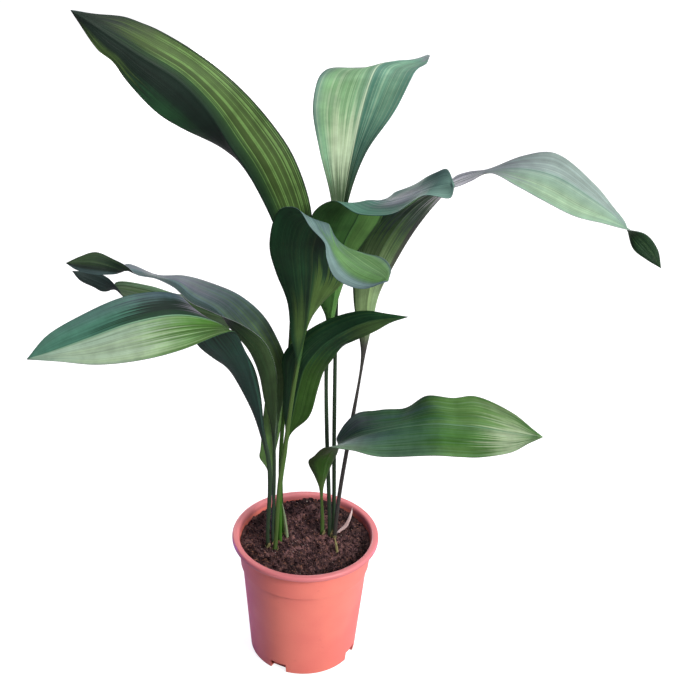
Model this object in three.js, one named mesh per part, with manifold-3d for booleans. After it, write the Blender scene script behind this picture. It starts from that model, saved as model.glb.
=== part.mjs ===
// A cast iron plant in a plastic grower's pot.
// Millimetres, +Z up. The origin is the centre of the pot's underside, and -Y faces the viewer.
// The leaves are placed by points picked by eye in the 700 px photograph, each with its own depth.
import * as THREE from 'three';
import { mergeVertices } from 'three/addons/utils/BufferGeometryUtils.js';
import Module from 'manifold-3d';

const wasm = await Module();
wasm.setup();

// Driving dimensions of the pot
const POT_HEIGHT = 160;
const RIM_DIAMETER = 170;
const MOUTH_DIAMETER = 157.5;
const FOOT_DIAMETER = 125.4;
const POT_WALL = 1.6;
const POT_FLOOR = 2.2;
const LIP_HEIGHT = 6;
const LIP_ROUND = 2;
const MOUTH_ROUND = 1;
const FOOT_ROUND = 2;
const COLLAR_BOTTOM = 122;
const COLLAR_STEP = 2;
const COLLAR_STEP_RISE = 1;
const COLLAR_BOTTOM_RADIUS = 75;
const COLLAR_TOP_RADIUS = 78;
const POT_SIDES = 48;
const CURVE_STEPS = 3;

// Drainage notches through the foot
const NOTCH_COUNT = 4;
const NOTCH_WIDTH = 20;
const NOTCH_HEIGHT = 12;
const NOTCH_DEPTH = 8;
const FIRST_NOTCH_DEG = 65;

// Soil
const CLEARANCE = 0.4;
const SOIL_LEVEL = 149;
const SOIL_RINGS = 7;
const SOIL_MOUND = { x: 5, y: 58, rise: 8, spread: 22 };

// Lumps on the soil are waves: how high, how fast each runs in X and Y in radians per millimetre,
// and where it starts in radians
const SOIL_WAVES = [
  { height: 0.55, inX: 0.31, inY: -0.27, start: 2.57 },
  { height: 0.55, inX: 0.31, inY: 0.27, start: 5.71 },
  { height: 0.8, inX: -0.23, inY: 0.57, start: 2 },
  { height: 0.6, inX: 0.71, inY: 0.4, start: 0 },
];

// Leaves
const STALK_HALF = 2.3;
const TIP_SHRINK = 0.02;
const STALK_BLEND = { from: 2.5, to: 9 };
const EDGE_THICKNESS = { stalk: 1.4, blade: 0.8 };
const RIB_THICKNESS = { stalk: 3.4, blade: 1.5 };
const TIP_THICKNESS = 0.7;
const THICKNESS_PER_HALF = 1.2;
const CHANNEL = 0.06;
const WAVE_HEIGHT = 1.4;
const RIGHT_WAVE_PHASE = 0.4;
const ROWS_PER_SPAN = 2;
const CELLS_PER_HALF = 3;

// Each stalk stands in a plain hole, which goes down into its rhizome
const HOLE_RADIUS = 3.1;
const HOLE_TOP = 166;
const HOLE_SIDES = 8;

// Where the photograph was taken from, and its focal length in pixels
const PHOTO = {
  viewpoint: [43, -1226, 1071],
  lookDownDeg: 28.55,
  rollDeg: -2.35,
  focal: 1300,
  centre: 350,
};

const FINISHES = {
  pot: { color: 0xe9765f, roughness: 0.45 },
  soil: { color: 0x2c1d18, roughness: 1 },
  rhizome: { color: 0x8a6a45, roughness: 0.9 },
  leaf: { color: 0x2f5d3a, roughness: 0.4 },
  drySheath: { color: 0xe3cdbd, roughness: 0.8 },
  yellowScale: { color: 0xb59a4e, roughness: 0.8 },
  greenSheath: { color: 0x7f8f6c, roughness: 0.8 },
};

// Every leaf runs from the foot of its stalk to its tip. A foot is a point in millimetres.
// A stalk, rib or tip is [x, y] in the photograph and its place in Y, in millimetres. A left or right
// margin, as seen from above with the tip ahead, is [x, y] in the photograph and how many millimetres
// farther away than the rib it lies. `waves` counts the ripples along each margin.
const LEAVES = {
  // The tallest leaf leans far to the left, folded along its midrib, and shows its underside.
  leaf_tall_left: {
    waves: 4,
    stations: [
      { foot: [-26, 9, 132] },
      { foot: [-28, 10, 165] },
      { stalk: [280.8, 455, 16] },
      { stalk: [290, 350, 20] },
      { rib: [293, 300, 12], left: [300, 298, 4], right: [290, 300, 8] },
      { rib: [286, 257, 4], left: [309, 252, 10], right: [287, 255, 20] },
      { rib: [271.5, 217, -5], left: [311.5, 213, 12], right: [278, 216, 27] },
      { rib: [248.5, 173, -20], left: [294, 157, 8], right: [250, 170, 30] },
      { rib: [231, 147, -31], left: [271, 122, 8], right: [226, 149.5, 28] },
      { rib: [207, 110, -45], left: [236, 84, 6], right: [183, 130, 18] },
      { rib: [178, 80, -58], left: [198, 53, 5], right: [154, 110, 12] },
      { rib: [140, 56, -72], left: [159.5, 30.5, 4], right: [125, 79, 9] },
      { rib: [125, 46, -78], left: [141, 22.5, 3.5], right: [113, 62.5, 5] },
      { rib: [110, 36, -84], left: [124, 16.5, 3], right: [98, 50, 5] },
      { rib: [88, 21, -92], left: [95, 13.6, 1], right: [79.5, 24, 2] },
      { tip: [70.6, 10.2, -98] },
    ],
  },
  // The upright leaf faces the viewer and bends away at its top.
  leaf_upright: {
    waves: 3,
    stations: [
      { foot: [31, 16, 132] },
      { foot: [32, 18, 165] },
      { stalk: [334.2, 430, 26] },
      { stalk: [336, 310, 38] },
      { rib: [338, 255, 44], left: [334, 254, -2], right: [341, 254, -2] },
      { rib: [344, 200, 50], left: [331, 200.5, -6], right: [348.4, 200, -3] },
      { rib: [352, 155, 56], left: [320, 152, -10], right: [366.3, 153, -6] },
      { rib: [361, 112, 63], left: [312.6, 108, -10], right: [394, 112.5, -8] },
      { rib: [370, 81, 77], left: [317, 81.5, -6], right: [411.5, 78, -8] },
      { rib: [377.5, 66.5, 95], left: [325.5, 69.3, 4], right: [417.5, 70, -4] },
      { rib: [395, 61, 128], left: [353, 68.5, 8], right: [423.5, 65, 2] },
      { rib: [412, 59.5, 158], left: [388, 65, 8], right: [427.5, 62, 2] },
      { tip: [429.5, 55.5, 182] },
    ],
  },
  // The centre leaf stands in front of the tallest and curls over to the right.
  leaf_centre: {
    waves: 4,
    stations: [
      { foot: [-35, -21, 132] },
      { foot: [-33, -20, 165] },
      { stalk: [279.6, 484, -23] },
      { stalk: [286.2, 440, -26] },
      { stalk: [293, 391, -31] },
      { rib: [298.5, 358, -34], left: [301.5, 356, 2], right: [295, 358.5, 3] },
      { rib: [304.5, 333, -37], left: [307.5, 327, 3], right: [291, 337, 6] },
      { rib: [308.5, 306, -41], left: [321, 304, 10], right: [287.5, 304, 8] },
      { rib: [312, 272, -47], left: [343, 281, 16], right: [275.5, 272, 10] },
      { rib: [313, 248, -56], left: [345, 264, 16], right: [269.6, 242, 5] },
      { rib: [319, 232, -64], left: [341, 250, 10], right: [278, 211, 0] },
      { rib: [328.5, 224, -76], left: [337, 245, 2], right: [297, 209.5, -4] },
      { rib: [332, 235, -92], left: [350, 250, 2], right: [310, 225, -6] },
      { rib: [336, 247, -106], left: [364, 252.5, 2], right: [323.5, 242, -9] },
      { rib: [346, 258, -119], left: [377.5, 256, 2], right: [326.5, 259, -12] },
      { rib: [360, 268, -132], left: [387.5, 262.5, 2], right: [336, 278, -8] },
      { rib: [377, 276, -142], left: [391, 270, 1], right: [361, 289, -3] },
      { tip: [388, 281, -148] },
    ],
  },
  // The longest leaf reaches far to the right and twists twice on its way.
  leaf_far_right: {
    waves: 3,
    stations: [
      { foot: [34, 8, 132] },
      { foot: [34.5, 8, 165] },
      { stalk: [340.2, 489, 7] },
      { stalk: [350.8, 428, 4] },
      { stalk: [363, 356, 2] },
      { rib: [365.5, 325, 1], left: [372, 325, 4], right: [357, 325, 4] },
      { rib: [368, 295, -2], left: [379, 295, 6], right: [353.5, 299, 8] },
      { rib: [376, 262, -8], left: [396, 262, 6], right: [354.5, 255.5, 17] },
      { rib: [392, 232, -18], left: [414, 231.5, 5], right: [367, 226, 19] },
      { rib: [415, 206, -32], left: [430, 209.5, 4], right: [397, 200, 14] },
      { rib: [438, 190, -48], left: [446, 191, 8], right: [433, 189, -2] },
      { rib: [454, 183, -60], left: [454, 179, 14], right: [454, 187, -14] },
      { rib: [470, 177, -72], left: [469.5, 172.8, 16], right: [470.5, 180, -16] },
      { rib: [488, 171, -84], left: [487, 169, 18], right: [489, 172, -18] },
      { rib: [522, 169, -96], left: [524, 154.5, 20], right: [518, 187, -20] },
      { rib: [556, 177, -105], left: [555, 152.5, 20], right: [543, 201.5, -20] },
      { rib: [589, 197, -112], left: [594.5, 184.5, 16], right: [574, 216.5, -16] },
      { rib: [612, 214, -116], left: [614.5, 210, 12], right: [605, 223.3, -12] },
      { rib: [625, 226, -119], left: [625, 223.5, 11], right: [625.5, 228.5, -11] },
      { rib: [639.5, 239, -122], left: [633, 248.5, 6], right: [646, 234.5, -6] },
      { rib: [651.5, 254, -124], left: [645.5, 259, 2], right: [658, 250, -3] },
      { tip: [661, 268, -126] },
    ],
  },
  // This leaf stands behind the centre one, and its outer end lies level to the right.
  leaf_mid_right: {
    waves: 4,
    stations: [
      { foot: [28, 10, 132] },
      { foot: [27.5, 11, 165] },
      { stalk: [328.6, 486, 12] },
      { stalk: [326.8, 430, 13] },
      { stalk: [326.5, 365, 11] },
      { rib: [330.5, 319, 8], left: [334.5, 317, 3], right: [326, 319, 4] },
      { rib: [333.5, 298, 5], left: [339.5, 296, 5], right: [319.5, 301, 10] },
      { rib: [338, 270, 1], left: [349.5, 266, 8], right: [314, 268, 12] },
      { rib: [344, 243, -9], left: [362, 247, 4], right: [311.5, 238, 12] },
      { rib: [355, 221, -22], left: [378, 225, 4], right: [313, 213, 6] },
      { rib: [367, 200.8, -32], left: [389, 201, 14], right: [334, 202, -2] },
      { rib: [384, 203, -46], left: [394.5, 193.8, 16], right: [360, 213, -14] },
      { rib: [410, 196, -62], left: [416, 182.2, 16], right: [393, 215, -14] },
      { rib: [431, 188, -74], left: [435, 173.8, 10], right: [424, 195, -10] },
      { rib: [446, 184, -80], left: [447, 169, 5], right: [450.5, 197.8, -5] },
      { tip: [454.5, 185, -84] },
    ],
  },
  // The lowest leaf bends over to the right and shows its upper face.
  leaf_low_right: {
    waves: 5,
    stations: [
      { foot: [19, 12, 132] },
      { foot: [19, 12, 165] },
      { stalk: [321.3, 489, 5] },
      { rib: [323, 474, 0], left: [328.5, 472, 4], right: [315, 477, 4] },
      { rib: [326, 461, -6], left: [333, 462, 8], right: [308.3, 462.5, 4] },
      { rib: [332, 450, -16], left: [338.5, 448, 14], right: [314.5, 456.3, -6] },
      { rib: [343, 443, -30], left: [337.5, 437.5, 16], right: [328, 446.5, -18] },
      { rib: [360, 436.5, -46], left: [355.5, 413.5, 14], right: [350, 450.5, -14] },
      { rib: [378, 432, -60], left: [379, 410.3, 13], right: [370, 455.3, -12] },
      { rib: [398, 428, -73], left: [402.5, 408.5, 12], right: [394, 457, -10] },
      { rib: [436, 424, -96], left: [427, 395.5, 10], right: [437, 456, -10] },
      { rib: [459, 425.5, -106], left: [453, 398, 9], right: [460, 457, -9] },
      { rib: [480, 427.5, -115], left: [475, 396, 8], right: [482, 457.5, -8] },
      { rib: [515, 433.5, -130], left: [513, 413, 5], right: [511, 452.5, -4] },
      { rib: [532, 436, -137], left: [533, 429, 1], right: [528, 444, -1] },
      { tip: [543, 437, -141] },
    ],
  },
  // The front leaf of the left clump leans to the right and shows its underside.
  leaf_front: {
    waves: 4,
    stations: [
      { foot: [-29, -4, 132] },
      { foot: [-29.5, -4, 165] },
      { stalk: [280, 489, -6] },
      { stalk: [284.6, 455, -8] },
      { rib: [288.2, 434, -12], left: [290.5, 434.5, 3], right: [285.5, 432, 4] },
      { rib: [292, 417, -16], left: [308.5, 417.5, 6], right: [283.5, 410, 6] },
      { rib: [298, 388, -22], left: [318, 388.5, 8], right: [283, 380, 9] },
      { rib: [305, 366, -29], left: [326, 368, 8], right: [284, 354, 12] },
      { rib: [321, 346, -38], left: [338.5, 351, 6], right: [301, 335, 10] },
      { rib: [344, 331, -50], left: [353.5, 341, 4], right: [333, 317.5, 8] },
      { rib: [370, 320.5, -62], left: [377, 330.5, 2], right: [363, 310.5, 5] },
      { rib: [391, 318, -71], left: [391.5, 322.5, 1], right: [389, 313.8, 2] },
      { tip: [408.7, 316.8, -78] },
    ],
  },
  // The widest leaf on the left folds over towards the viewer.
  leaf_low_left: {
    waves: 4,
    stations: [
      { foot: [-41, -15, 132] },
      { foot: [-43, -17, 165] },
      { stalk: [269.8, 490, -20] },
      { stalk: [268.5, 460, -23] },
      { rib: [262.5, 432, -29], left: [264.5, 430, 5], right: [259, 431, 5] },
      { rib: [258, 402, -38], left: [261, 396, 6], right: [249, 404, 10] },
      { rib: [251, 373, -50], left: [254.8, 371, 8], right: [230.5, 373, 14] },
      { rib: [243, 350, -64], left: [244.2, 348.5, 8], right: [212, 356.5, 12] },
      { rib: [234, 334, -80], left: [234, 331, -4], right: [193, 338, 8] },
      { rib: [214, 321.5, -98], left: [222, 334, -14], right: [184, 299, 9] },
      { rib: [177, 315, -118], left: [182, 350, -12], right: [165, 291.5, 10] },
      { rib: [133, 322.5, -138], left: [138, 360.5, -12], right: [128, 296, 10] },
      { rib: [89, 338, -152], left: [95, 365, -8], right: [83, 314, 6] },
      { rib: [53, 351, -163], left: [58, 361.5, -3], right: [47, 335.5, 2] },
      { tip: [27, 359.3, -170] },
    ],
  },
  // This leaf arches to the left above the widest one and twists near its tip.
  leaf_arched_left: {
    waves: 3,
    stations: [
      { foot: [-36, -6, 132] },
      { foot: [-38, -6, 165] },
      { stalk: [274.4, 486, -4] },
      { stalk: [274.4, 450, -5] },
      { rib: [272, 425, -5], left: [276, 424, -2], right: [279, 420, 6] },
      { rib: [265.3, 400, -8], left: [277, 392, -6], right: [286, 385, 9] },
      { rib: [259.8, 373, -13], left: [275.5, 368, -8], right: [286.5, 363, 9] },
      { rib: [249.7, 350, -19], left: [265, 342, -8], right: [278, 340, 12] },
      { rib: [234, 331.5, -26], left: [243, 324.5, -9], right: [262, 314, 12] },
      { rib: [216, 309.5, -33], left: [213, 313, -12], right: [238, 294, 12] },
      { rib: [192, 296, -38], left: [189, 303, -14], right: [210, 282, 12] },
      { rib: [176, 283, -42], left: [173.5, 287, -14], right: [184, 275.2, 12] },
      { rib: [157, 276.5, -45.5], left: [157, 277.5, -9], right: [157, 275.5, 9] },
      { rib: [131, 269.7, -50], left: [136, 274.2, -7], right: [126, 264.8, 7] },
      { rib: [123.5, 269.8, -51.3], left: [127.2, 267.2, -7], right: [120, 272.3, 7] },
      { rib: [112, 267, -53], left: [114.8, 260, -4], right: [110, 274.2, 4] },
      { rib: [93, 263, -56], left: [96, 252, 0], right: [91, 274, 3] },
      { rib: [77, 262.5, -58], left: [80, 256.3, 0], right: [76, 269.8, 1] },
      { tip: [65.8, 263, -60] },
    ],
  },
  // The leaf at the back of the left clump shows only its upper edge and its tip.
  leaf_back_left: {
    waves: 3,
    stations: [
      { foot: [-35, 6, 132] },
      { foot: [-37, 7, 165] },
      { stalk: [273.2, 488, 13] },
      { rib: [270, 468, 18], left: [267, 469, -2], right: [273, 466, 3] },
      { rib: [269, 457, 21], left: [259.5, 457.5, -3], right: [275.5, 452, 5] },
      { rib: [269, 446, 24], left: [260.3, 448.5, -4], right: [279, 438, 6] },
      { rib: [270, 420, 30], left: [262.5, 427, -5], right: [282.5, 415, 8] },
      { rib: [271, 385, 37], left: [266, 388, -8], right: [281, 378, 10] },
      { rib: [262, 350, 43], left: [256.5, 352, -10], right: [273, 340, 10] },
      { rib: [240, 326, 48], left: [238, 331, -14], right: [256, 312, 10] },
      { rib: [208, 312, 52], left: [202, 332, -16], right: [220, 296, 10] },
      { rib: [172, 304, 55], left: [163, 327, -16], right: [178, 294, 8] },
      { rib: [145, 297, 57], left: [140, 311, -12], right: [150, 286.3, 8] },
      { rib: [120, 290.5, 58], left: [124.5, 298, -9], right: [116, 282.8, 9] },
      { rib: [114.5, 288.5, 58.7], left: [117, 288.5, -9], right: [112, 289, 9] },
      { rib: [105, 284.5, 60], left: [107.5, 278, -5], right: [102.5, 291, 5] },
      { rib: [94, 280.5, 62], left: [97, 272.5, -2], right: [94, 287.3, 3] },
      { rib: [81, 275, 63], left: [83, 271.3, 0], right: [80, 280.5, 1] },
      { tip: [72, 270.8, 64] },
    ],
  },
};

// Small dead or half-grown sheaths at the feet of the clumps, slim all the way, with half widths
const SHEATHS = {
  dry_sheath: {
    finish: FINISHES.drySheath,
    stations: [
      { foot: [38, 13, 140], half: 1.3 },
      { stalk: [338, 533, 14], half: 1.3 },
      { stalk: [345.6, 525.7, 15], half: 1.9 },
      { stalk: [350.7, 515, 16], half: 1.3 },
      { tip: [352.6, 507.5, 18] },
    ],
  },
  yellow_scale: {
    finish: FINISHES.yellowScale,
    stations: [
      { foot: [38, -21, 140], half: 1.4 },
      { stalk: [337.3, 552.5, -21], half: 1.4 },
      { stalk: [336, 544, -20], half: 1.2 },
      { tip: [334.7, 536, -19] },
    ],
  },
  green_sheath: {
    finish: FINISHES.greenSheath,
    stations: [
      { foot: [-21, 3, 142], half: 1.6 },
      { stalk: [286.9, 534, 3], half: 1.6 },
      { stalk: [285, 518, 2], half: 1.2 },
      { tip: [282.4, 503, 3] },
    ],
  },
};
const SHEATH_ACROSS = new THREE.Vector3(1, 0, 0);

// The creeping rootstocks, one under each clump
const RHIZOMES = {
  rhizome_left: { from: [-39, -30, 131], to: [-28, 18, 131], radius: 8.5 },
  rhizome_right: { from: [9, 11, 131], to: [45, 13, 131], radius: 8.5 },
};
const RHIZOME_RINGS = 9;
const RHIZOME_SIDES = 12;
const RHIZOME_JOINTS = 4;
const RHIZOME_SWELL = 0.07;
const RHIZOME_BLUNTNESS = 5;
const RHIZOME_END_SHARE = 0.05;

const MERGE_DISTANCE = 1e-4;

const vec = (xyz) => new THREE.Vector3(...xyz);
const mix = THREE.MathUtils.lerp;

// The line of sight through a point of the photograph, one millimetre long straight ahead
function sightline(x, y) {
  const { lookDownDeg, rollDeg, focal, centre } = PHOTO;
  const down = THREE.MathUtils.degToRad(lookDownDeg);
  const roll = THREE.MathUtils.degToRad(rollDeg);
  const right = (x - centre) / focal;
  const up = (centre - y) / focal;
  const levelRight = right * Math.cos(roll) + up * Math.sin(roll);
  const levelUp = up * Math.cos(roll) - right * Math.sin(roll);
  return new THREE.Vector3(
    levelRight,
    Math.cos(down) + levelUp * Math.sin(down),
    levelUp * Math.cos(down) - Math.sin(down),
  );
}

function alongSightline(x, y, distance) {
  return sightline(x, y).multiplyScalar(distance).add(vec(PHOTO.viewpoint));
}

// How far ahead of the viewpoint a point of the photograph is, when its place in Y is known
function distanceAt([x, y, placeInY]) {
  return (placeInY - PHOTO.viewpoint[1]) / sightline(x, y).y;
}

function toSolid(geometry) {
  const bare = geometry.clone();
  bare.deleteAttribute('normal');
  bare.deleteAttribute('uv');
  const merged = mergeVertices(bare, MERGE_DISTANCE);
  const corners = merged.index.array;
  const kept = [];
  for (let i = 0; i < corners.length; i += 3) {
    const [a, b, c] = corners.slice(i, i + 3);
    if (a !== b && b !== c && c !== a) kept.push(a, b, c);
  }
  const vertProperties = new Float32Array(merged.attributes.position.array);
  return new wasm.Manifold(new wasm.Mesh({ numProp: 3, vertProperties, triVerts: new Uint32Array(kept) }));
}

function toGeometry(solid) {
  const { vertProperties, triVerts } = solid.getMesh();
  const geometry = new THREE.BufferGeometry();
  geometry.setAttribute('position', new THREE.BufferAttribute(vertProperties, 3));
  geometry.setIndex(new THREE.BufferAttribute(triVerts, 1));
  return geometry;
}

function geometryFrom(points, triangles) {
  const geometry = new THREE.BufferGeometry();
  geometry.setFromPoints(points);
  geometry.setIndex(triangles);
  return geometry;
}

// A closed solid through rings of equal length, each running anticlockwise as seen from the last ring
function solidThroughRings(rings) {
  const sides = rings[0].length;
  const points = rings.flat();
  const triangles = [];
  for (let ring = 0; ring < rings.length - 1; ring += 1) {
    for (let side = 0; side < sides; side += 1) {
      const a = ring * sides + side;
      const b = ring * sides + ((side + 1) % sides);
      triangles.push(a, b, b + sides, a, b + sides, a + sides);
    }
  }
  const last = (rings.length - 1) * sides;
  for (let side = 1; side < sides - 1; side += 1) {
    triangles.push(0, side + 1, side);
    triangles.push(last, last + side, last + side + 1);
  }
  return geometryFrom(points, triangles);
}

function ringAround(centre, across, up, radius, sides) {
  return Array.from({ length: sides }, (_, side) => {
    const angle = (2 * Math.PI * side) / sides;
    return centre.clone()
      .addScaledVector(across, radius * Math.cos(angle))
      .addScaledVector(up, radius * Math.sin(angle));
  });
}

// The pot's outer radius at a height below the lip
function wallRadius(z) {
  const foot = FOOT_DIAMETER / 2;
  const bodyTop = COLLAR_BOTTOM_RADIUS - COLLAR_STEP;
  if (z < COLLAR_BOTTOM) return mix(foot, bodyTop, z / COLLAR_BOTTOM);
  const share = (z - COLLAR_BOTTOM) / (POT_HEIGHT - LIP_HEIGHT - COLLAR_BOTTOM);
  return mix(COLLAR_BOTTOM_RADIUS, COLLAR_TOP_RADIUS, share);
}

function potProfile() {
  const lipBottom = POT_HEIGHT - LIP_HEIGHT;
  const rim = RIM_DIAMETER / 2;
  const bodyTop = COLLAR_BOTTOM_RADIUS - COLLAR_STEP;
  const profile = new THREE.Path();
  profile.moveTo(0, 0);
  profile.lineTo(wallRadius(0) - FOOT_ROUND, 0);
  profile.quadraticCurveTo(wallRadius(0), 0, wallRadius(FOOT_ROUND), FOOT_ROUND);
  profile.lineTo(bodyTop, COLLAR_BOTTOM - COLLAR_STEP_RISE);
  profile.lineTo(COLLAR_BOTTOM_RADIUS, COLLAR_BOTTOM);
  profile.lineTo(COLLAR_TOP_RADIUS, lipBottom);
  profile.lineTo(rim - LIP_ROUND, lipBottom);
  profile.quadraticCurveTo(rim, lipBottom, rim, lipBottom + LIP_ROUND);
  profile.quadraticCurveTo(rim, POT_HEIGHT, rim - LIP_ROUND, POT_HEIGHT);
  profile.lineTo(MOUTH_DIAMETER / 2 + MOUTH_ROUND, POT_HEIGHT);
  const innerTop = COLLAR_TOP_RADIUS - POT_WALL;
  profile.quadraticCurveTo(innerTop, POT_HEIGHT, innerTop, lipBottom);
  profile.lineTo(COLLAR_BOTTOM_RADIUS - POT_WALL, COLLAR_BOTTOM);
  profile.lineTo(bodyTop - POT_WALL, COLLAR_BOTTOM - COLLAR_STEP_RISE);
  profile.lineTo(wallRadius(POT_FLOOR) - POT_WALL, POT_FLOOR);
  profile.lineTo(0, POT_FLOOR);
  return profile.getPoints(CURVE_STEPS);
}

function pot() {
  const turned = new THREE.LatheGeometry(potProfile(), POT_SIDES);
  turned.rotateX(Math.PI / 2);
  let solid = toSolid(turned);
  for (let notch = 0; notch < NOTCH_COUNT; notch += 1) {
    const angle = THREE.MathUtils.degToRad(FIRST_NOTCH_DEG + (360 / NOTCH_COUNT) * notch);
    const cutter = new THREE.BoxGeometry(2 * NOTCH_DEPTH, NOTCH_WIDTH, 2 * NOTCH_HEIGHT);
    cutter.rotateZ(angle);
    const radius = FOOT_DIAMETER / 2;
    cutter.translate(radius * Math.cos(angle), radius * Math.sin(angle), 0);
    solid = solid.subtract(toSolid(cutter));
  }
  return toGeometry(solid);
}

function soilHeight(x, y) {
  const { x: mx, y: my, rise, spread } = SOIL_MOUND;
  const away = (x - mx) ** 2 + (y - my) ** 2;
  const mound = rise * Math.exp(-away / (2 * spread * spread));
  let height = SOIL_LEVEL + mound;
  for (const wave of SOIL_WAVES) {
    height += wave.height * Math.sin(wave.inX * x + wave.inY * y + wave.start);
  }
  return height;
}

// Soil fills the pot to just under its lip, with a lumpy top
function soilBody() {
  const gap = POT_WALL + CLEARANCE;
  const bodyTopRadius = COLLAR_BOTTOM_RADIUS - COLLAR_STEP - gap;
  const topRadius = wallRadius(SOIL_LEVEL - SOIL_MOUND.rise) - gap;
  const across = new THREE.Vector3(1, 0, 0);
  const up = new THREE.Vector3(0, 1, 0);
  const circle = (radius, z) => ringAround(new THREE.Vector3(0, 0, z), across, up, radius, POT_SIDES);
  const layers = [
    circle(wallRadius(POT_FLOOR) - gap, POT_FLOOR + CLEARANCE),
    circle(bodyTopRadius, COLLAR_BOTTOM - COLLAR_STEP_RISE + CLEARANCE),
    circle(bodyTopRadius + COLLAR_STEP, COLLAR_BOTTOM + CLEARANCE),
  ];
  for (let ring = SOIL_RINGS; ring >= 1; ring -= 1) {
    const layer = circle((topRadius * ring) / SOIL_RINGS, 0);
    layer.forEach((point) => point.setZ(soilHeight(point.x, point.y)));
    layers.push(layer);
  }
  return toSolid(solidThroughRings(layers));
}

// A blade station's rib and the ways from it to its margins
function bladeStation({ rib, left, right }) {
  const distance = distanceAt(rib);
  const middle = alongSightline(rib[0], rib[1], distance);
  const toMargin = ([x, y, farther]) => alongSightline(x, y, distance + farther).sub(middle);
  return { middle, left: toMargin(left), right: toMargin(right) };
}

function stationMiddle({ foot, stalk, rib, tip }) {
  if (foot) return vec(foot);
  const point = stalk ?? rib ?? tip;
  return alongSightline(point[0], point[1], distanceAt(point));
}

// Every station gets margins: a slim stalk's lie across it, and a tip's shrink to almost nothing
function stationRows(stations) {
  const middles = stations.map(stationMiddle);
  const firstBlade = stations.findIndex(({ rib }) => rib);
  let sideways = SHEATH_ACROSS;
  if (firstBlade >= 0) {
    const { left, right } = bladeStation(stations[firstBlade]);
    sideways = right.sub(left);
  }
  const rows = [];
  stations.forEach((station, index) => {
    const middle = middles[index];
    if (station.rib) {
      rows.push(bladeStation(station));
    } else if (station.tip) {
      const before = rows[index - 1];
      const left = before.left.clone().multiplyScalar(TIP_SHRINK);
      const right = before.right.clone().multiplyScalar(TIP_SHRINK);
      rows.push({ middle, left, right });
    } else {
      const along = middles[index + 1].clone().sub(middles[Math.max(index - 1, 0)]).normalize();
      const right = sideways.clone().projectOnPlane(along).setLength(station.half ?? STALK_HALF);
      rows.push({ middle, left: right.clone().negate(), right });
    }
  });
  return { rows, bladeStart: Math.max(firstBlade, 0) };
}

// Midrib and margins as three curves, sampled together
function leafRows(stations) {
  const { rows, bladeStart } = stationRows(stations);
  const curve = (pick) => new THREE.CatmullRomCurve3(rows.map(pick), false, 'centripetal');
  const midrib = curve((row) => row.middle);
  const leftMargin = curve((row) => row.middle.clone().add(row.left));
  const rightMargin = curve((row) => row.middle.clone().add(row.right));
  const spans = rows.length - 1;
  const count = spans * ROWS_PER_SPAN;
  return Array.from({ length: count + 1 }, (_, index) => {
    const share = index / count;
    const bladeShare = (share * spans - bladeStart) / (spans - bladeStart);
    const middle = midrib.getPoint(share);
    return {
      middle,
      along: midrib.getTangent(share),
      left: leftMargin.getPoint(share).sub(middle),
      right: rightMargin.getPoint(share).sub(middle),
      bladeShare: Math.max(bladeShare, 0),
    };
  });
}

// One closed solid, half its thickness to each side of the leaf's surface, both faces split alike
function leaf(stations, waves = 0) {
  const columns = 2 * CELLS_PER_HALF + 1;
  const upper = [];
  const lower = [];
  leafRows(stations).forEach(({ middle, along, left, right, bladeShare }) => {
    const half = (left.length() + right.length()) / 2;
    const bladeness = THREE.MathUtils.smoothstep(half, STALK_BLEND.from, STALK_BLEND.to);
    const level = right.clone().sub(left).cross(along).normalize();
    const leftFacing = level.clone().lerp(along.clone().cross(left).normalize(), bladeness).normalize();
    const rightFacing = level.clone().lerp(right.clone().cross(along).normalize(), bladeness).normalize();
    const ribFacing = leftFacing.clone().add(rightFacing).normalize();
    const most = TIP_THICKNESS + THICKNESS_PER_HALF * half;
    const edge = Math.min(mix(EDGE_THICKNESS.stalk, EDGE_THICKNESS.blade, bladeness), most);
    const rib = Math.min(mix(RIB_THICKNESS.stalk, RIB_THICKNESS.blade, bladeness), most);
    for (let column = 0; column < columns; column += 1) {
      const out = column / CELLS_PER_HALF - 1;
      const reach = Math.abs(out);
      const side = out < 0 ? left : right;
      const sideFacing = out < 0 ? leftFacing : rightFacing;
      const facing = reach === 0 ? ribFacing : sideFacing;
      const phase = out < 0 ? 0 : RIGHT_WAVE_PHASE;
      const ripple = Math.sin(2 * Math.PI * (waves * bladeShare + phase)) * Math.sin(Math.PI * bladeShare);
      const lift = WAVE_HEIGHT * bladeness * ripple * reach ** 3
        - CHANNEL * side.length() * Math.sin(Math.PI * reach);
      const halfThickness = mix(rib, edge, reach * reach) / 2;
      const point = middle.clone().addScaledVector(side, reach);
      upper.push(point.clone().addScaledVector(facing, lift + halfThickness));
      lower.push(point.clone().addScaledVector(facing, lift - halfThickness));
    }
  });
  const points = [...upper, ...lower];
  const under = upper.length;
  const lastRow = upper.length - columns;
  const triangles = [];
  for (let row = 0; row < lastRow; row += columns) {
    for (let column = 0; column < columns - 1; column += 1) {
      const a = row + column;
      const b = a + 1;
      const c = b + columns;
      const d = a + columns;
      triangles.push(a, b, c, a, c, d);
      triangles.push(under + a, under + c, under + b, under + a, under + d, under + c);
    }
    const leftEdge = row;
    const rightEdge = row + columns - 1;
    triangles.push(leftEdge, leftEdge + columns, under + leftEdge + columns);
    triangles.push(leftEdge, under + leftEdge + columns, under + leftEdge);
    triangles.push(rightEdge, under + rightEdge + columns, rightEdge + columns);
    triangles.push(rightEdge, under + rightEdge, under + rightEdge + columns);
  }
  for (let column = 0; column < columns - 1; column += 1) {
    const b = column + 1;
    triangles.push(column, under + column, under + b, column, under + b, b);
    const e = lastRow + column;
    const f = e + 1;
    triangles.push(e, under + f, under + e, e, f, under + f);
  }
  return geometryFrom(points, triangles);
}

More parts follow.
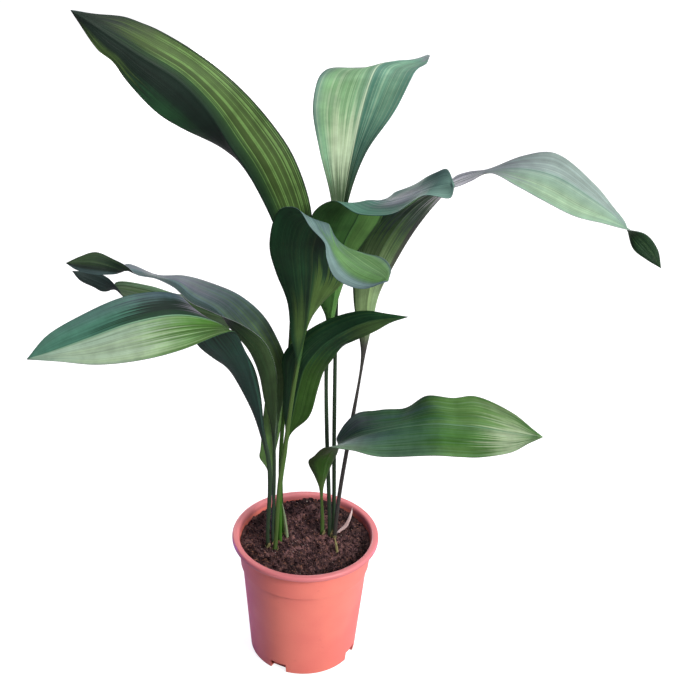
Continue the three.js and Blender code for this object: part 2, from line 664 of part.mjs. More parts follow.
// The plain hole that a stalk or sheath stands in: an eight-sided bore along its foot
function footHole(stations) {
  const rows = leafRows(stations);
  const across = new THREE.Vector3(1, 0, 0);
  const up = new THREE.Vector3(0, 1, 0);
  const feet = rows.filter(({ middle }) => middle.z < HOLE_TOP).map(({ middle }) => middle);
  feet[0].z -= CLEARANCE;
  const rings = feet.map((point) => ringAround(point, across, up, HOLE_RADIUS, HOLE_SIDES));
  return toSolid(solidThroughRings(rings));
}

function rhizomeBody({ from, to, radius }, extra = 0) {
  const start = vec(from);
  const end = vec(to);
  const along = end.clone().sub(start).normalize();
  const across = new THREE.Vector3(0, 0, 1).cross(along).normalize();
  const up = along.clone().cross(across);
  const rings = Array.from({ length: RHIZOME_RINGS }, (_, index) => {
    const share = index / (RHIZOME_RINGS - 1);
    const inward = 1 - Math.abs(2 * share - 1) ** RHIZOME_BLUNTNESS;
    const taper = Math.sqrt(Math.max(inward, RHIZOME_END_SHARE));
    const swell = 1 + RHIZOME_SWELL * Math.cos(2 * Math.PI * RHIZOME_JOINTS * share);
    const centre = start.clone().lerp(end, share).addScaledVector(along, extra * (2 * share - 1));
    return ringAround(centre, across, up, radius * taper * swell + extra, RHIZOME_SIDES);
  });
  return toSolid(solidThroughRings(rings));
}

function mesh(name, geometry, finish) {
  const material = new THREE.MeshStandardMaterial({ ...finish, metalness: 0 });
  if (!geometry.attributes.normal) geometry.computeVertexNormals();
  const made = new THREE.Mesh(geometry, material);
  made.name = name;
  return made;
}

const plant = new THREE.Group();
const standing = [...Object.values(LEAVES), ...Object.values(SHEATHS)];
const holes = standing.map(({ stations }) => footHole(stations));

let soil = soilBody();
for (const rhizome of Object.values(RHIZOMES)) {
  soil = soil.subtract(rhizomeBody(rhizome, CLEARANCE));
}
for (const hole of holes) {
  soil = soil.subtract(hole);
}

plant.add(mesh('pot', pot(), FINISHES.pot));
plant.add(mesh('soil', toGeometry(soil), FINISHES.soil));
for (const [name, rhizome] of Object.entries(RHIZOMES)) {
  let solid = rhizomeBody(rhizome);
  for (const hole of holes) solid = solid.subtract(hole);
  plant.add(mesh(name, toGeometry(solid), FINISHES.rhizome));
}
for (const [name, { stations, waves }] of Object.entries(LEAVES)) {
  plant.add(mesh(name, leaf(stations, waves), FINISHES.leaf));
}
for (const [name, { stations, finish }] of Object.entries(SHEATHS)) {
  plant.add(mesh(name, leaf(stations), finish));
}

export default plant;
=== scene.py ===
"""The looks of a potted cast iron plant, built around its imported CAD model.

Metres here, millimetres in the measurements below. +Z is up and -Y faces the viewer.
"""

import math

import bpy
import numpy as np
from mathutils import Matrix, Vector, noise


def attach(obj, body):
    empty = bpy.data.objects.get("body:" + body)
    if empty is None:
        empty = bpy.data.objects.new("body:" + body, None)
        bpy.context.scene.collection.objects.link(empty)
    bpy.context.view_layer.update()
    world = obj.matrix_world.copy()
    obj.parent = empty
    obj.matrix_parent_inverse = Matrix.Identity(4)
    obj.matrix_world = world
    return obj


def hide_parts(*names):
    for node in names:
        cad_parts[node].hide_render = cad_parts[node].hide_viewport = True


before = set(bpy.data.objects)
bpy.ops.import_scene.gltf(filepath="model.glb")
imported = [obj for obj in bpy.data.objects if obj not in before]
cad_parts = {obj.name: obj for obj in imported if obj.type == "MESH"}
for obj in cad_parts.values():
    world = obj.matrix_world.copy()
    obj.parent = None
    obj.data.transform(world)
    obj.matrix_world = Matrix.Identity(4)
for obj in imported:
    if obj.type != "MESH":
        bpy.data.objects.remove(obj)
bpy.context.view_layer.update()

MM = 0.001

# Where the photograph was taken from, how far the camera was tilted up from looking straight down and
# rolled, and its focal length in pixels
VIEWPOINT = np.array((43.0, -1226.0, 1071.0))
TILT = math.radians(90 - 28.55)
ROLL = math.radians(2.35)
VIEW_TURN = np.array((
    (1, 0, 0),
    (0, math.cos(TILT), -math.sin(TILT)),
    (0, math.sin(TILT), math.cos(TILT)),
)) @ (
    (math.cos(ROLL), -math.sin(ROLL), 0),
    (math.sin(ROLL), math.cos(ROLL), 0),
    (0, 0, 1),
)
FOCAL = 1300
CENTRE = 350
SENSOR_WIDTH = 36

# Leaf colours
NIGHT = 0x14241C
DEEP = 0x12301B
FOREST = 0x20492A
DARK_OLIVE = 0x34492A
OLIVE = 0x465F2D
MOSS = 0x4E6E3A
GRASS = 0x4C7A3A
SPRING = 0x396A1E
APPLE = 0x688F4C
PALE = 0x94B07C
# Besides pale veins, cream paints bright streaks of light shining through and off the leaves
CREAM = 0xC0D2AE
SAGE = 0x729B78
TEAL = 0x3C6856
DEEP_TEAL = 0x284A40
SEA = 0x54806C
MIST = 0x7E9C92
BLUE_GREY = 0x4C6264
STEEL = 0x283638
# A painted sheen: the lilac grey of light glancing off the leaves where they bend and twist
LILAC_SHEEN = 0x716F7A
ASH = 0x8A8C90
PLUM = 0x3A3238
LIT_HALF_OLIVE = 0x2A3B18
FERN = 0x284612
INK = 0x0F2018
DUSK = 0x26362A
SLATE = 0x33414C
# A painted highlight on folds, creases and twists
WHITE_HIGHLIGHT = 0xC8C5CE
PALE_GREY = 0xA8AE96

# Every leaf runs from the two feet of its stalk, which are points in millimetres, up the stalk, along
# its ribs and to its tip. A point of the stalk, a rib or a tip is (x, y) in the photograph and its
# place in Y, in millimetres. After each rib come the left and the right margin, as seen from above with
# the tip ahead, as (x, y) in the photograph and how many millimetres farther away than the rib they
# lie. Waves counts the ripples along each margin.
LEAVES = {
    # The tallest leaf leans far to the left, folded along its midrib, and shows its underside.
    "leaf_tall_left": dict(waves=4, slot="leaf_tall", stalk_colour=FERN,
        feet=[(-26, 9, 132), (-28, 10, 165)], stalk=[(280.8, 455, 16), (290, 350, 20)],
        tip=(70.6, 10.2, -98), ribs=[
        ((293, 300, 12), (300, 298, 4), (290, 300, 8)),
        ((286, 257, 4), (309, 252, 10), (287, 255, 20)),
        ((271.5, 217, -5), (311.5, 213, 12), (278, 216, 27)),
        ((248.5, 173, -20), (294, 157, 8), (250, 170, 30)),
        ((231, 147, -31), (271, 122, 8), (226, 149.5, 28)),
        ((207, 110, -45), (236, 84, 6), (183, 130, 18)),
        ((178, 80, -58), (198, 53, 5), (154, 110, 12)),
        ((140, 56, -72), (159.5, 30.5, 4), (125, 79, 9)),
        ((125, 46, -78), (141, 22.5, 3.5), (113, 62.5, 5)),
        ((110, 36, -84), (124, 16.5, 3), (98, 50, 5)),
        ((88, 21, -92), (95, 13.6, 1), (79.5, 24, 2)),
    ]),
    # The upright leaf faces the viewer and bends away at its top.
    "leaf_upright": dict(waves=3, slot="leaf_streaked", stalk_colour=DUSK,
        feet=[(31, 16, 132), (32, 18, 165)], stalk=[(334.2, 430, 26), (336, 310, 38)],
        tip=(429.5, 55.5, 182), ribs=[
        ((338, 255, 44), (334, 254, -2), (341, 254, -2)),
        ((344, 200, 50), (331, 200.5, -6), (348.4, 200, -3)),
        ((352, 155, 56), (320, 152, -10), (366.3, 153, -6)),
        ((361, 112, 63), (312.6, 108, -10), (394, 112.5, -8)),
        ((370, 81, 77), (317, 81.5, -6), (411.5, 78, -8)),
        ((377.5, 66.5, 95), (325.5, 69.3, 4), (417.5, 70, -4)),
        ((395, 61, 128), (353, 68.5, 8), (423.5, 65, 2)),
        ((412, 59.5, 158), (388, 65, 8), (427.5, 62, 2)),
    ]),
    # The centre leaf stands in front of the tallest and curls over to the right.
    "leaf_centre": dict(waves=4, slot="leaf_dark", stalk_colour=OLIVE,
        feet=[(-35, -21, 132), (-33, -20, 165)],
        stalk=[(279.6, 484, -23), (286.2, 440, -26), (293, 391, -31)], tip=(388, 281, -148), ribs=[
        ((298.5, 358, -34), (301.5, 356, 2), (295, 358.5, 3)),
        ((304.5, 333, -37), (307.5, 327, 3), (291, 337, 6)),
        ((308.5, 306, -41), (321, 304, 10), (287.5, 304, 8)),
        ((312, 272, -47), (343, 281, 16), (275.5, 272, 10)),
        ((313, 248, -56), (345, 264, 16), (269.6, 242, 5)),
        ((319, 232, -64), (341, 250, 10), (278, 211, 0)),
        ((328.5, 224, -76), (337, 245, 2), (297, 209.5, -4)),
        ((332, 235, -92), (350, 250, 2), (310, 225, -6)),
        ((336, 247, -106), (364, 252.5, 2), (323.5, 242, -9)),
        ((346, 258, -119), (377.5, 256, 2), (326.5, 259, -12)),
        ((360, 268, -132), (387.5, 262.5, 2), (336, 278, -8)),
        ((377, 276, -142), (391, 270, 1), (361, 289, -3)),
    ]),
    # The longest leaf reaches far to the right and twists twice on its way.
    "leaf_far_right": dict(waves=3, slot="leaf_right", stalk_colour=PLUM,
        feet=[(34, 8, 132), (34.5, 8, 165)], stalk=[(340.2, 489, 7), (350.8, 428, 4), (363, 356, 2)],
        tip=(661, 268, -126), ribs=[
        ((365.5, 325, 1), (372, 325, 4), (357, 325, 4)),
        ((368, 295, -2), (379, 295, 6), (353.5, 299, 8)),
        ((376, 262, -8), (396, 262, 6), (354.5, 255.5, 17)),
        ((392, 232, -18), (414, 231.5, 5), (367, 226, 19)),
        ((415, 206, -32), (430, 209.5, 4), (397, 200, 14)),
        ((438, 190, -48), (446, 191, 8), (433, 189, -2)),
        ((454, 183, -60), (454, 179, 14), (454, 187, -14)),
        ((470, 177, -72), (469.5, 172.8, 16), (470.5, 180, -16)),
        ((488, 171, -84), (487, 169, 18), (489, 172, -18)),
        ((522, 169, -96), (524, 154.5, 20), (518, 187, -20)),
        ((556, 177, -105), (555, 152.5, 20), (543, 201.5, -20)),
        ((589, 197, -112), (594.5, 184.5, 16), (574, 216.5, -16)),
        ((612, 214, -116), (614.5, 210, 12), (605, 223.3, -12)),
        ((625, 226, -119), (625, 223.5, 11), (625.5, 228.5, -11)),
        ((639.5, 239, -122), (633, 248.5, 6), (646, 234.5, -6)),
        ((651.5, 254, -124), (645.5, 259, 2), (658, 250, -3)),
    ]),
    # This leaf stands behind the centre one, and its outer end lies level to the right.
    "leaf_mid_right": dict(waves=4, slot="leaf_right", stalk_colour=DUSK,
        feet=[(28, 10, 132), (27.5, 11, 165)], stalk=[(328.6, 486, 12), (326.8, 430, 13), (326.5, 365, 11)],
        tip=(454.5, 185, -84), ribs=[
        ((330.5, 319, 8), (334.5, 317, 3), (326, 319, 4)),
        ((333.5, 298, 5), (339.5, 296, 5), (319.5, 301, 10)),
        ((338, 270, 1), (349.5, 266, 8), (314, 268, 12)),
        ((344, 243, -9), (362, 247, 4), (311.5, 238, 12)),
        ((355, 221, -22), (378, 225, 4), (313, 213, 6)),
        ((367, 200.8, -32), (389, 201, 14), (334, 202, -2)),
        ((384, 203, -46), (394.5, 193.8, 16), (360, 213, -14)),
        ((410, 196, -62), (416, 182.2, 16), (393, 215, -14)),
        ((431, 188, -74), (435, 173.8, 10), (424, 195, -10)),
        ((446, 184, -80), (447, 169, 5), (450.5, 197.8, -5)),
    ]),
    # The lowest leaf bends over to the right and shows its upper face.
    "leaf_low_right": dict(waves=5, slot="leaf_low", stalk_colour=OLIVE, feet=[(19, 12, 132), (19, 12, 165)],
        stalk=[(321.3, 489, 5)], tip=(543, 437, -141), ribs=[
        ((323, 474, 0), (328.5, 472, 4), (315, 477, 4)),
        ((326, 461, -6), (333, 462, 8), (308.3, 462.5, 4)),
        ((332, 450, -16), (338.5, 448, 14), (314.5, 456.3, -6)),
        ((343, 443, -30), (337.5, 437.5, 16), (328, 446.5, -18)),
        ((360, 436.5, -46), (355.5, 413.5, 14), (350, 450.5, -14)),
        ((378, 432, -60), (379, 410.3, 13), (370, 455.3, -12)),
        ((398, 428, -73), (402.5, 408.5, 12), (394, 457, -10)),
        ((436, 424, -96), (427, 395.5, 10), (437, 456, -10)),
        ((459, 425.5, -106), (453, 398, 9), (460, 457, -9)),
        ((480, 427.5, -115), (475, 396, 8), (482, 457.5, -8)),
        ((515, 433.5, -130), (513, 413, 5), (511, 452.5, -4)),
        ((532, 436, -137), (533, 429, 1), (528, 444, -1)),
    ]),
    # The front leaf of the left clump leans to the right and shows its underside.
    "leaf_front": dict(waves=4, slot="leaf_low", stalk_colour=SPRING,
        feet=[(-29, -4, 132), (-29.5, -4, 165)], stalk=[(280, 489, -6), (284.6, 455, -8)],
        tip=(408.7, 316.8, -78), ribs=[
        ((288.2, 434, -12), (290.5, 434.5, 3), (285.5, 432, 4)),
        ((292, 417, -16), (308.5, 417.5, 6), (283.5, 410, 6)),
        ((298, 388, -22), (318, 388.5, 8), (283, 380, 9)),
        ((305, 366, -29), (326, 368, 8), (284, 354, 12)),
        ((321, 346, -38), (338.5, 351, 6), (301, 335, 10)),
        ((344, 331, -50), (353.5, 341, 4), (333, 317.5, 8)),
        ((370, 320.5, -62), (377, 330.5, 2), (363, 310.5, 5)),
        ((391, 318, -71), (391.5, 322.5, 1), (389, 313.8, 2)),
    ]),
    # The widest leaf on the left folds over towards the viewer.
    "leaf_low_left": dict(waves=4, slot="leaf_left", stalk_colour=DUSK,
        feet=[(-41, -15, 132), (-43, -17, 165)], stalk=[(269.8, 490, -20), (268.5, 460, -23)],
        tip=(27, 359.3, -170), ribs=[
        ((262.5, 432, -29), (264.5, 430, 5), (259, 431, 5)),
        ((258, 402, -38), (261, 396, 6), (249, 404, 10)),
        ((251, 373, -50), (254.8, 371, 8), (230.5, 373, 14)),
        ((243, 350, -64), (244.2, 348.5, 8), (212, 356.5, 12)),
        ((234, 334, -80), (234, 331, -4), (193, 338, 8)),
        ((214, 321.5, -98), (222, 334, -14), (184, 299, 9)),
        ((177, 315, -118), (182, 350, -12), (165, 291.5, 10)),
        ((133, 322.5, -138), (138, 360.5, -12), (128, 296, 10)),
        ((89, 338, -152), (95, 365, -8), (83, 314, 6)),
        ((53, 351, -163), (58, 361.5, -3), (47, 335.5, 2)),
    ]),
    # This leaf arches to the left above the widest one and twists near its tip.
    "leaf_arched_left": dict(waves=3, slot="leaf_left", stalk_colour=DUSK,
        feet=[(-36, -6, 132), (-38, -6, 165)], stalk=[(274.4, 486, -4), (274.4, 450, -5)],
        tip=(65.8, 263, -60), ribs=[
        ((272, 425, -5), (276, 424, -2), (279, 420, 6)),
        ((265.3, 400, -8), (277, 392, -6), (286, 385, 9)),
        ((259.8, 373, -13), (275.5, 368, -8), (286.5, 363, 9)),
        ((249.7, 350, -19), (265, 342, -8), (278, 340, 12)),
        ((234, 331.5, -26), (243, 324.5, -9), (262, 314, 12)),
        ((216, 309.5, -33), (213, 313, -12), (238, 294, 12)),
        ((192, 296, -38), (189, 303, -14), (210, 282, 12)),
        ((176, 283, -42), (173.5, 287, -14), (184, 275.2, 12)),
        ((157, 276.5, -45.5), (157, 277.5, -9), (157, 275.5, 9)),
        ((131, 269.7, -50), (136, 274.2, -7), (126, 264.8, 7)),
        ((123.5, 269.8, -51.3), (127.2, 267.2, -7), (120, 272.3, 7)),
        ((112, 267, -53), (114.8, 260, -4), (110, 274.2, 4)),
        ((93, 263, -56), (96, 252, 0), (91, 274, 3)),
        ((77, 262.5, -58), (80, 256.3, 0), (76, 269.8, 1)),
    ]),
    # The leaf at the back of the left clump shows only its upper edge and its tip.
    "leaf_back_left": dict(waves=3, slot="leaf_left", stalk_colour=NIGHT,
        feet=[(-35, 6, 132), (-37, 7, 165)], stalk=[(273.2, 488, 13)], tip=(72, 270.8, 64), ribs=[
        ((270, 468, 18), (267, 469, -2), (273, 466, 3)),
        ((269, 457, 21), (259.5, 457.5, -3), (275.5, 452, 5)),
        ((269, 446, 24), (260.3, 448.5, -4), (279, 438, 6)),
        ((270, 420, 30), (262.5, 427, -5), (282.5, 415, 8)),
        ((271, 385, 37), (266, 388, -8), (281, 378, 10)),
        ((262, 350, 43), (256.5, 352, -10), (273, 340, 10)),
        ((240, 326, 48), (238, 331, -14), (256, 312, 10)),
        ((208, 312, 52), (202, 332, -16), (220, 296, 10)),
        ((172, 304, 55), (163, 327, -16), (178, 294, 8)),
        ((145, 297, 57), (140, 311, -12), (150, 286.3, 8)),
        ((120, 290.5, 58), (124.5, 298, -9), (116, 282.8, 9)),
        ((114.5, 288.5, 58.7), (117, 288.5, -9), (112, 289, 9)),
        ((105, 284.5, 60), (107.5, 278, -5), (102.5, 291, 5)),
        ((94, 280.5, 62), (97, 272.5, -2), (94, 287.3, 3)),
        ((81, 275, 63), (83, 271.3, 0), (80, 280.5, 1)),
    ]),
}

# Small dead or half-grown sheaths at the feet of the clumps, given like the leaves, but slim all the
# way, with the half width of each station before the tip, and a light and a dark colour
SHEATHS = {
    "dry_sheath": dict(feet=[(38, 13, 140)], stalk=[(338, 533, 14), (345.6, 525.7, 15), (350.7, 515, 16)],
        halves=[1.3, 1.3, 1.9, 1.3], tip=(352.6, 507.5, 18), colours=(0xE6D6D2, 0xB9958F)),
    "yellow_scale": dict(feet=[(38, -21, 140)], stalk=[(337.3, 552.5, -21), (336, 544, -20)],
        halves=[1.4, 1.4, 1.2], tip=(334.7, 536, -19), colours=(0x9A9866, 0x6C6640)),
    "green_sheath": dict(feet=[(-21, 3, 142)], stalk=[(286.9, 534, 3), (285, 518, 2)],
        halves=[1.6, 1.6, 1.2], tip=(282.4, 503, 3), colours=(0x5A7444, 0x93A283)),
}

# How each face of each leaf is coloured. A patch is its colour, where it runs across the leaf from 0
# at the left margin to 1 at the right one, where it runs along the blade from 0 to 1, how soft its
# sides and its ends are, and how strong it is. Lines are their colour and how strong they are, and
# lines_in says where they run across and along, if not all over the face. Smears are broader lines,
# given with where they run.
ALL = (-0.1, 1.1)
WHOLE_FACE = ((0, 1), ALL)
SEED_STEP = 7.3
# Much of this is painted light and shade rather than the leaves' own colour: blue-grey tints that paint the
# sky's reflection, lilac sheen, white highlights, shaded halves and shadows
UPPER_FACES = {
    "leaf_tall_left": dict(base=TEAL, rib=SAGE, rim=STEEL, lines=(SAGE, 0.2)),
    "leaf_upright": dict(base=SEA, rib=CREAM, rim=BLUE_GREY, lines=(CREAM, 0.22), patches=[
        (SAGE, (-0.1, 0.48), (0.1, 0.9), 0.02, 0.08, 0.85),
        # The cream lines, rib and patch partly paint light shining through and reflecting off the leaf
        (CREAM, (0.16, 0.5), (0.24, 0.46), 0.06, 0.06, 0.7),
        (APPLE, (0.05, 0.42), (0.42, 0.74), 0.1, 0.1, 0.4),
        (BLUE_GREY, (-0.1, 0.06), (0.4, 0.7), 0.04, 0.06, 0.6),
        (DEEP_TEAL, (0.52, 1.1), (0.14, 0.4), 0.02, 0.1, 0.75),
        (TEAL, (0.52, 0.62), (0.3, 0.8), 0.03, 0.08, 0.7),
        (SAGE, (0.62, 0.9), (0.5, 0.85), 0.08, 0.08, 0.4),
        # Painted reflection: lilac and ash where the top bends away and catches the sky
        (LILAC_SHEEN, (-0.1, 0.35), (0.8, 1.1), 0.1, 0.05, 0.7),
        (LILAC_SHEEN, ALL, (0.93, 1.1), 0.05, 0.04, 0.7),
        (ASH, (-0.1, 0.08), (0.72, 1.1), 0.04, 0.06, 0.7),
        (DARK_OLIVE, ALL, (-0.1, 0.29), 0.1, 0.07, 0.9),
        (FOREST, (0.45, 1.1), (-0.1, 0.16), 0.06, 0.05, 0.7),
    ]),
    "leaf_centre": dict(base=BLUE_GREY, rib=GRASS, rim=BLUE_GREY, lines=(PALE, 0.15),
        lines_in=((0, 0.8), ALL), patches=[
        (DEEP_TEAL, ALL, (0.3, 0.68), 0.1, 0.08, 0.6),
        (GRASS, (0.05, 0.74), (0.74, 1.1), 0.1, 0.05, 0.85),
        (SAGE, (0.3, 0.6), (0.78, 0.96), 0.1, 0.06, 0.2),
        (MOSS, (0.05, 0.74), (0.74, 1.1), 0.1, 0.05, 0.4),
        (MIST, (0.8, 1.1), (0.66, 0.97), 0.07, 0.06, 0.4),
    ]),
    "leaf_far_right": dict(base=SEA, rib=TEAL, rim=ASH, lines=(CREAM, 0.18), patches=[
        # Painted sheen and highlight on the twist, with painted shade along its fold
        (LILAC_SHEEN, ALL, (0.25, 0.64), 0.1, 0.05, 0.75),
        (WHITE_HIGHLIGHT, ALL, (0.42, 0.52), 0.1, 0.02, 0.95),
        (INK, (0.38, 0.56), (0.4, 0.5), 0.05, 0.03, 0.9),
        (ASH, (-0.1, 0.6), (0.62, 0.9), 0.18, 0.06, 0.55),
        (SAGE, (0.5, 1.1), (0.62, 0.9), 0.1, 0.05, 0.55),
        (PALE, (0.66, 0.94), (0.64, 0.86), 0.1, 0.06, 0.35),
        (ASH, (0.5, 1.1), (0.62, 0.94), 0.1, 0.06, 0.22),
    ]),
    "leaf_mid_right": dict(base=TEAL, rib=DEEP_TEAL, rim=STEEL, lines=(MIST, 0.18), patches=[
        (SEA, (0.45, 1.1), (0.58, 0.95), 0.1, 0.08, 0.35),
        (BLUE_GREY, (-0.1, 0.5), (0.6, 0.76), 0.1, 0.05, 0.6),
        # Painted sheen and highlight on the outer flap
        (LILAC_SHEEN, (0.2, 0.7), (0.7, 0.87), 0.1, 0.05, 0.7),
        (WHITE_HIGHLIGHT, (0.42, 0.62), (0.73, 0.86), 0.07, 0.05, 0.4),
        (MIST, (-0.1, 0.22), (0.6, 0.9), 0.1, 0.06, 0.25),
        (MIST, ALL, (0.86, 1.1), 0.1, 0.04, 0.45),
    ]),
    "leaf_low_right": dict(base=GRASS, rib=SAGE, rim=PLUM, lines=(SAGE, 0.25),
        smears=(SPRING, 0.5, ALL, (0.4, 0.8)), patches=[
        # Painted shade on the left lobe, which folds up into shadow
        (DEEP_TEAL, (-0.1, 0.42), (-0.1, 0.36), 0.06, 0.05, 0.9),
        (BLUE_GREY, (0.1, 0.48), (0.3, 0.46), 0.08, 0.05, 0.55),
        # Painted sheen near the margin
        (LILAC_SHEEN, (0.0, 0.3), (0.28, 0.38), 0.08, 0.05, 0.5),
        (BLUE_GREY, (0.5, 1.1), (0.06, 0.5), 0.05, 0.08, 0.9),
        (MIST, (0.5, 0.85), (0.08, 0.42), 0.08, 0.08, 0.45),
        (APPLE, (0.8, 1.1), (0.2, 0.8), 0.06, 0.1, 0.5),
        (BLUE_GREY, (-0.1, 0.25), (0.4, 0.66), 0.08, 0.08, 0.75),
        (TEAL, (0.1, 1.1), (0.4, 0.66), 0.15, 0.08, 0.4),
        (SEA, (0.2, 1.1), (0.44, 0.62), 0.12, 0.08, 0.3),
        (SAGE, (0.65, 1.1), (0.3, 0.62), 0.1, 0.08, 0.4),
        (PALE, ALL, (0.84, 0.94), 0.1, 0.06, 0.7),
        (PALE, (0.15, 0.5), (0.68, 0.86), 0.12, 0.06, 0.2),
        # Painted highlight along the crease of the midrib
        (WHITE_HIGHLIGHT, (0.46, 0.53), (0.02, 0.3), 0.02, 0.06, 0.7),
        (CREAM, (0.3, 1.0), (0.87, 0.97), 0.15, 0.05, 0.65),
        (APPLE, (-0.1, 0.4), (0.66, 0.84), 0.1, 0.06, 0.5),
    ]),
    "leaf_front": dict(base=BLUE_GREY, rib=TEAL, rim=STEEL, lines=(MIST, 0.2)),
    "leaf_low_left": dict(base=TEAL, rib=SAGE, rim=DEEP_TEAL, lines=(PALE, 0.25),
        lines_in=((0.02, 0.48), (0.35, 0.9)), smears=(FERN, 0.75, (0.04, 0.46), (0.3, 0.86)), patches=[
        (SPRING, (-0.1, 0.49), (0.36, 0.62), 0.02, 0.06, 0.9),
        (GRASS, (-0.1, 0.49), (0.56, 0.72), 0.03, 0.08, 0.7),
        (SAGE, (-0.1, 0.49), (0.72, 0.98), 0.03, 0.08, 0.5),
        (OLIVE, (-0.1, 0.49), (0.3, 0.6), 0.06, 0.08, 0.5),
        (SPRING, (0.3, 0.49), (0.3, 0.74), 0.06, 0.1, 0.6),
        (FERN, (-0.1, 0.49), (0.3, 0.54), 0.03, 0.07, 0.6),
        (PALE, (0.05, 0.34), (0.64, 0.93), 0.06, 0.07, 0.45),
        (MIST, (-0.1, 0.49), (0.7, 1.0), 0.03, 0.08, 0.4),
        (OLIVE, (-0.1, 0.08), (0.5, 0.88), 0.05, 0.08, 0.35),
        (PALE_GREY, (-0.1, 0.49), (0.66, 1.0), 0.03, 0.1, 0.3),
        (SLATE, (0.82, 1.1), (0.42, 0.72), 0.1, 0.06, 0.85),
        (INK, (0.51, 0.88), (0.3, 0.72), 0.06, 0.06, 1),
        (DEEP, (0.5, 0.62), (0.35, 0.8), 0.03, 0.1, 0.8),
        # Painted sheen and highlight near the fold
        (LILAC_SHEEN, (0.56, 1.1), (0.36, 0.52), 0.1, 0.05, 0.75),
        (WHITE_HIGHLIGHT, (0.6, 0.8), (0.36, 0.47), 0.06, 0.04, 0.55),
        (BLUE_GREY, (0.8, 1.1), (0.66, 0.9), 0.08, 0.08, 0.4),
    ]),
    "leaf_arched_left": dict(base=BLUE_GREY, rib=BLUE_GREY, rim=ASH, lines=(APPLE, 0.22), patches=[
        # Painted shade on the near half
        (STEEL, (-0.1, 0.48), (0.25, 0.8), 0.04, 0.1, 0.75),
        (MOSS, ALL, (-0.1, 0.3), 0.1, 0.1, 0.8),
        (DARK_OLIVE, (0.52, 1.1), (0.1, 0.45), 0.02, 0.08, 0.6),
        (OLIVE, (0.52, 0.72), (0.22, 0.5), 0.06, 0.08, 0.5),
        (OLIVE, (0.55, 1.1), (0.06, 0.3), 0.1, 0.08, 0.6),
        (SLATE, (0.52, 0.75), (0.4, 0.75), 0.08, 0.07, 0.5),
        # Painted sheen along the upper margin
        (LILAC_SHEEN, (0.6, 1.1), (0.56, 0.84), 0.1, 0.07, 0.55),
    ]),
    "leaf_back_left": dict(base=MOSS, rib=FOREST, rim=STEEL, lines=(DEEP, 0.7), lines_in=((0.5, 0.9), ALL),
        smears=(FERN, 0.7, (0.4, 1.1), (0.5, 0.9)), patches=[
        (DUSK, ALL, (0.84, 1.1), 0.1, 0.04, 0.8),
        (DARK_OLIVE, ALL, (0.4, 0.86), 0.1, 0.05, 0.6),
        (ASH, ALL, (0.77, 0.86), 0.1, 0.03, 0.12),
        (SAGE, (0.84, 1.1), (0.3, 0.84), 0.06, 0.05, 0.4),
    ]),
}
